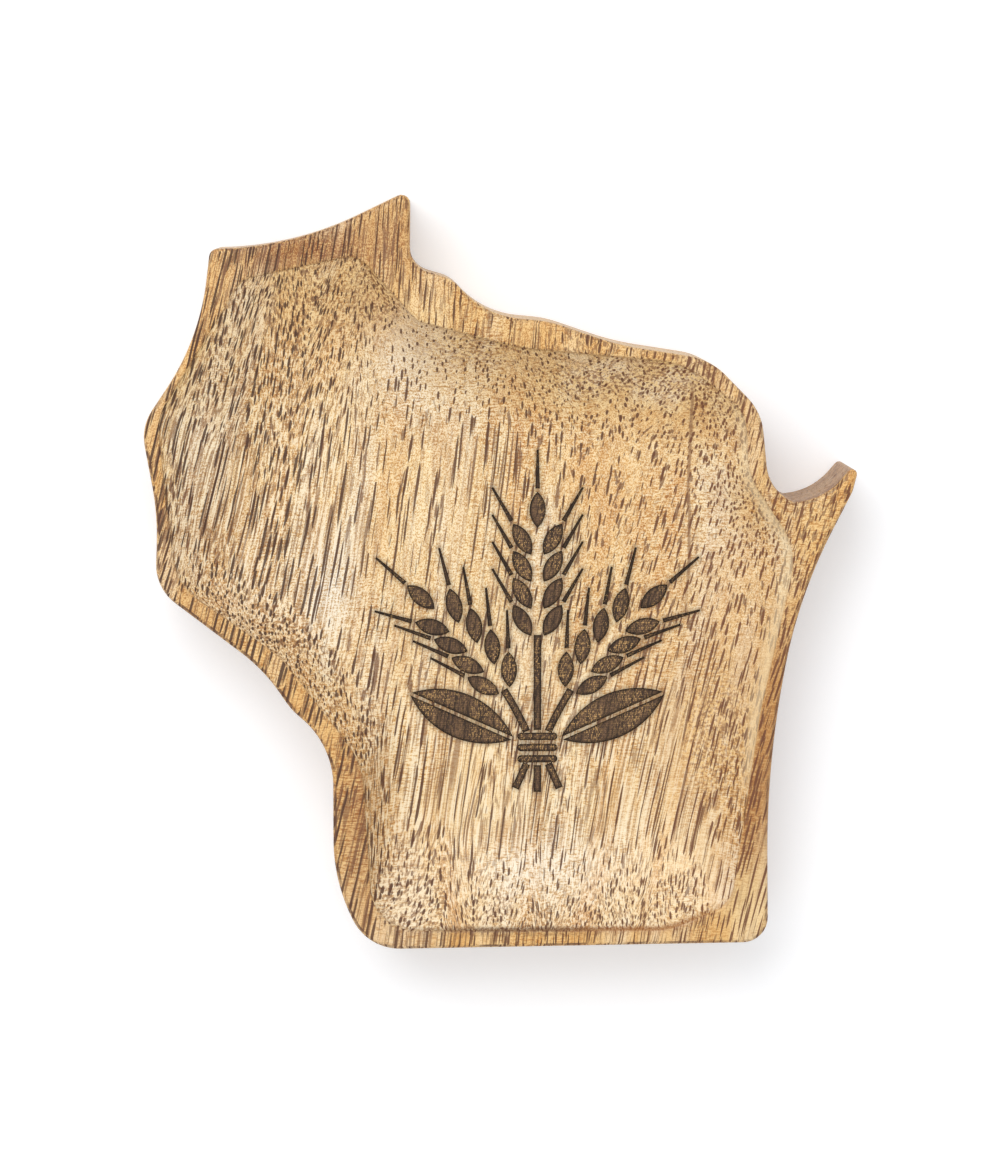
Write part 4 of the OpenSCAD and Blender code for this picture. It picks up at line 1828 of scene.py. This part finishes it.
    def _pores(self) -> list[Coat]:
        """Draws the pores: tubes along the grain, taller than wide, that narrow and widen.

        Returns:
            Their coat.
        """
        add, wood, x, rim = self.add, self.wood, self.x, self.rim
        at = add(Kind.JOINED, self.across, self.depth, 0)
        at = add(Kind.STRETCHED, at, (1 / wood.pore_pitch, 1 / wood.pore_step, 0))
        cells = add(Kind.CELLS, Vector=at, Randomness=0.85)
        off_x, off_z, _ = add(Kind.PARTED, add(Kind.APART, at, cells)).node.outputs
        own, luck, _ = add(Kind.PARTED, cells.node.outputs["Color"]).node.outputs
        off_x = add(Kind.TIMES, off_x, wood.pore_pitch)
        tall = Ease(self.turned_up, 0.2, 0.45, 1, 1 / wood.pore_tall)
        gap = add(Kind.JOINED, off_x, add(Kind.TIMES, off_z, tall, wood.pore_step), 0)

        aside = add(Kind.SPREAD, add(Kind.SIZE, add(Kind.LESS, x, 1)), 14, 30, 0.46, 0.04)
        on_rim = add(Kind.SPREAD, rim, 0, 1, 1, 0.6)
        spared = add(Kind.TIMES, aside, on_rim, Ease(self.y, -10, -24, 1, 0.6))
        kept = add(Kind.LESS, luck, add(Kind.TIMES_PLUS, self.end_cut, 0.3, spared))
        pulse = add(Kind.NOISE, self._at(wood.pulse_size), Detail=1)
        pulse = add(Kind.MOST, Ease(pulse, 0.36, 0.52, 0.3, 1.1), add(Kind.TIMES, rim, 0.75))
        width = (Ease(own, 0, 1, 0.7, 1.15), pulse, Ease(kept, 0, 0.1))
        width += (Ease(x, -40, 0, 1.15, 1), Ease(self.end_cut, 0, 1, 1, 0.75), wood.pore_r)
        width = add(Kind.TIMES, *width)
        inner = add(Kind.OVER, add(Kind.LENGTH, gap), add(Kind.MOST, width, wood.least_pore))
        self.pore = add(Kind.EASED, inner, 0.8, 1.25, 1, 0)
        tints = (
            Coat(wood.brown_pore_colour, (Ease(x, -30, -8),)),
            Coat(wood.red_pore_colour, (Ease(x, 8, 30),)),
            Coat(wood.filled_pore_colour, (Ease(own, 0, 0.5, 0.35, 0),)),
            Coat(wood.end_grain_colour, (self.end_cut, 0.45)),
        )
        return [Coat(self.bench.paint(wood.pore_colour, tints), (self.pore, 0.92))]

    def _edges(self) -> list[Coat]:
        """Draws a painted highlight just inside the lip on the right, dark lines along the eased
        edges and the lip, and the scorching.

        Returns:
            Their coats.
        """
        add, wood, x, y = self.add, self.wood, self.x, self.y
        lip, edge = self.marks["lip"], self.marks["edge"]
        uneven = add(Kind.NOISE, add(Kind.STRETCHED, self.place, wood.uneven_rates), Detail=2)
        # Painted highlight: a light band just inside the lip on the right-hand wall, where the
        # lamp's sheen falls
        lip_highlight = (Ease(lip, 0.3, 1.9, 0.5, 0), Ease(self.rim, 0, 0.8, 1, 0))
        lip_highlight += (Ease(x, 29, 34), Ease(y, -32, -24))
        # Dark lines along the board's eased edges and along the lip, the lip's strongest at the
        # bottom of the bowl
        sawn = (Ease(edge, 0.06, 0.32, 1, 0), Ease(uneven, 0.4, 0.62, 0.05, 0.85))
        sawn += (Ease(x, 12, 42, 1, 0.6), Ease(y, 16, 26, 1, 0.3))
        cut = (Ease(lip, 0.05, 0.6, 1, 0), Ease(y, -44, -36, 0.85, 0.05))
        cut += (Ease(x, -16, -2, 0.15, 1), Ease(x, 22, 30, 1, 0.2))
        cut += (Ease(self.fleck, 0.35, 0.55, 0.6, 1),)
        lip_tint = add(Kind.LAID, Ease(x, 4, 18), wood.line_colour, wood.lip_colour)
        return [
            Coat(wood.lip_highlight_colour, lip_highlight),
            Coat(wood.line_colour, sawn),
            Coat(lip_tint, cut),
            Coat(wood.scorch_colour, (self.marks["scorch"],)),
        ]


@dataclass(frozen=True)
class CharredWood:
    """Hardwood burned away line by line with a hot beam.

    The char is matte and near black at its border. Inside, harder grain stands up in brown
    ridges with golden specks, crossed by the fine level lines of the beam.

    A pattern's three numbers are its size across and along the grain, in millimetres, and its
    detail.

    Attributes:
        grain: Field that the grain follows.
        line_pitch: Distance between the beam's lines. The real 0.1 mm is too fine to show.
        roughness: Roughness of the char.
        unevenness: How far the roughness differs from that, both ways.
        ior: Index of refraction of the char.
        ridge_height: Height of the ridges of harder grain, in millimetres.
        line_height: Height of the beam's lines.
        ridges: Ridges of harder grain.
        mottle: Uneven burning.
        specks: Specks that the beam only browned.
        broad: Places where such specks gather.
    """

    grain: GrainField
    line_pitch: float = 0.24
    roughness: float = 0.82
    unevenness: float = 0.06
    ior: float = 1.45
    ridge_height: float = 0.05
    line_height: float = 0.01
    ridges: Triple = (0.28, 4.5, 2.0)
    mottle: Triple = (0.2, 0.26, 2.0)
    specks: Triple = (0.15, 0.4, 1.0)
    broad: Triple = (5.0, 9.0, 1.0)
    dark_colour: str = "#38281D"
    brown_colour: str = "#775A42"
    gold_colour: str = "#CFA56B"
    border_colour: str = "#22170F"

    def build(self) -> bpy.types.Material:
        """Mixes the finish.

        Returns:
            Its material.
        """
        dressing = Dressing("hardwood_charred_by_beam")
        bench = dressing.bench
        add = bench.add
        across, along, depth, place = self.grain.lay(bench)
        made = []
        for across_size, along_size, detail in (self.ridges, self.mottle, self.specks, self.broad):
            u = add(Kind.TIMES, across, 1 / across_size)
            v = add(Kind.TIMES, along, 1 / along_size)
            made.append(add(Kind.NOISE, add(Kind.JOINED, u, v, depth), Detail=detail))
        ridges, mottle, specks, broad = made
        level = add(Kind.PARTED, place).node.outputs[1]
        lines = add(Kind.WAVE, add(Kind.TIMES, level, 2 * math.pi / self.line_pitch))
        border = add(Kind.MARK, attribute_name="border")
        ragged = add(Kind.TIMES_PLUS, add(Kind.LESS, mottle, 0.5), 1.2, border)
        golden = (Ease(specks, 0.52, 0.62), Ease(broad, 0.4, 0.6, 0.15, 0.95))
        coats = (
            Coat(self.brown_colour, (Ease(ridges, 0.36, 0.62),)),
            Coat(self.dark_colour, (Ease(mottle, 0.46, 0.60, 0, 0.75),)),
            Coat(self.gold_colour, (*golden, Ease(lines, -0.2, 0.8, 1, 0.35))),
            Coat(self.dark_colour, (Ease(lines, 0, 1, 0, 0.4),)),
            Coat(self.border_colour, (Ease(ragged, 0, 0.35, 0.8, 0),)),
        )
        colour = bench.paint(self.dark_colour, coats)
        height = add(Kind.SPREAD, ridges, 0.3, 0.7, 0, self.ridge_height)
        height = add(Kind.TIMES_PLUS, lines, self.line_height, height)
        bump = add(Kind.BUMP, Height=height, Strength=0.7)
        low, high = self.roughness - self.unevenness, self.roughness + self.unevenness
        rough = add(Kind.SPREAD, specks, 0.3, 0.7, low, high)
        return dressing.done(Base_Color=colour, Roughness=rough, Normal=bump, IOR=self.ior)


# Studio


@dataclass
class Studio:
    """White sheet, soft light and the camera above it.

    Attributes:
        reach: Half side of the sheet, in metres.
        target: Place that the camera looks at, in millimetres.
        stand: Place of the camera.
        focal: Focal length in pixels.
        frame_w: Width of the frame in pixels.
        sensor_w: Width of the sensor, in millimetres.
        key_power: Power of the large soft lamp, in watts.
        lamp_size: Its width and height, in metres.
        lamp_place: Its place, in metres.
        sky: Strength of the even light from all round.
        sheet_colour: Linear colour of the sheet.
        sheet_roughness: Roughness of the sheet.
        sheet_lift: Strength that lifts the lit sheet to white where a ray shows it.
        lift_colour: Linear colour of that lift.
    """

    reach: float = 3.0
    target: Triple = (-0.22, 0.09, 16.0)
    stand: Triple = (-15.2, 50.7, 516.0)
    focal: float = 3809.0
    frame_w: float = 1000.0
    sensor_w: float = 36.0
    key_power: float = 3.3
    lamp_size: Pair = (0.55, 0.45)
    lamp_place: Triple = (-0.22, 0.42, 0.74)
    sky: float = 0.74
    sheet_colour: Quad = (0.85, 0.86, 0.88, 1)
    sheet_roughness: float = 0.9
    sheet_lift: float = 0.27
    lift_colour: Quad = (0.96, 0.98, 1, 1)

    def build(self) -> None:
        """Builds everything round the object."""
        self._sheet()
        self._light()
        self._camera()

    def _seen(self, bench: NodeBench) -> Any:
        """Tells rays that show the room itself from those that only light.

        Args:
            bench: Bench of the sheet or the room.

        Returns:
            Socket that is 1 for a ray of the first kind and 0 for one of the second.
        """
        path = bench.add(Kind.RAY).node.outputs
        names = ("Is Camera Ray", "Is Glossy Ray", "Is Transmission Ray")
        return bench.add(Kind.MOST, *(path[name] for name in names))

    def _sheet(self) -> None:
        """Lays the white sheet, which keeps the object's shadow."""
        mesh = bpy.data.meshes.new("white_sheet")
        r = self.reach
        mesh.from_pydata([(-r, -r, 0), (r, -r, 0), (r, r, 0), (-r, r, 0)], [], [(0, 1, 2, 3)])
        sheet = bpy.data.objects.new("white_sheet", mesh)
        sheet.location.z = -0.00002
        bpy.context.scene.collection.objects.link(sheet)
        # Smooth white paper: even, without gloss, and the dish's soft shadow shows on it
        dressing = Dressing("white_paper_smooth")
        material = dressing.done(Base_Color=self.sheet_colour, Roughness=self.sheet_roughness)
        bench = dressing.bench
        lift = bench.add(Kind.TIMES, self._seen(bench), self.sheet_lift)
        glow = bench.add(Kind.GLOW, self.lift_colour, lift)
        both = bench.add(Kind.BOTH, dressing.shader.outputs[0], glow)
        bench.feed(material.node_tree.nodes["Material Output"].inputs["Surface"], both)
        mesh.materials.append(material)

    def _light(self) -> None:
        """Sets the even light and the lamp at the upper left."""
        world = bpy.data.worlds.new("white_room")
        world.use_nodes = True
        background = world.node_tree.nodes["Background"]
        background.inputs["Color"].default_value = (1, 1, 1, 1)
        bench = NodeBench(world.node_tree)
        strength = bench.add(Kind.SPREAD, self._seen(bench), 0, 1, self.sky, 1)
        bench.feed(background.inputs["Strength"], strength)
        bpy.context.scene.world = world
        lamp = bpy.data.lights.new("window", "AREA")
        lamp.shape = "RECTANGLE"
        lamp.size, lamp.size_y = self.lamp_size
        lamp.energy = self.key_power
        holder = bpy.data.objects.new("window", lamp)
        place = Vector(self.lamp_place)
        holder.location = place
        holder.rotation_euler = (-place).to_track_quat("-Z", "Y").to_euler()
        bpy.context.scene.collection.objects.link(holder)

    def _camera(self) -> None:
        """Hangs the camera above the dish, almost straight over it."""
        lens = bpy.data.cameras.new("overhead")
        lens.sensor_fit = "HORIZONTAL"
        lens.sensor_width = self.sensor_w
        lens.lens = self.focal / self.frame_w * self.sensor_w
        lens.clip_start, lens.clip_end = 0.01, 20
        camera = bpy.data.objects.new("overhead", lens)
        stand, target = Vector(self.stand) * MM, Vector(self.target) * MM
        back = (stand - target).normalized()
        right = Vector((0, 1, 0)).cross(back).normalized()
        up = back.cross(right)
        turn = Matrix((right, up, back)).transposed().to_4x4()
        camera.matrix_world = Matrix.Translation(stand) @ turn
        bpy.context.scene.collection.objects.link(camera)
        bpy.context.scene.camera = camera
        bpy.context.scene.view_settings.view_transform = "Standard"


def placed(piece: bpy.types.Object, material: bpy.types.Material, slot: Slot, *nodes: str) -> None:
    """Dresses a piece, lets it ride on the board and has it stand for CAD nodes.

    Args:
        piece: The piece.
        material: Its material.
        slot: Not used.
        nodes: The CAD nodes that it stands for.
    """
    piece.data.materials.append(material)
    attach(piece, BODY)
    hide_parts(*nodes)
    log.info("%s: %d faces", piece.name, len(piece.data.polygons))


def main() -> None:
    """Builds the dish and its studio."""
    logging.basicConfig(level=logging.INFO, format="%(message)s")
    form, motif, grain = BoardForm(), SheafMotif(), GrainField()
    placed(DishBody(form, motif).build(), OiledHardwood(grain).build(), Slot.WOOD, "dish_body")
    char = CharredWood(grain).build()
    for part in Part:
        placed(BurnedLayer(form, motif, part).build(), char, Slot.CHAR, part.value)
    Studio().build()


if __name__ == "__main__":
    main()
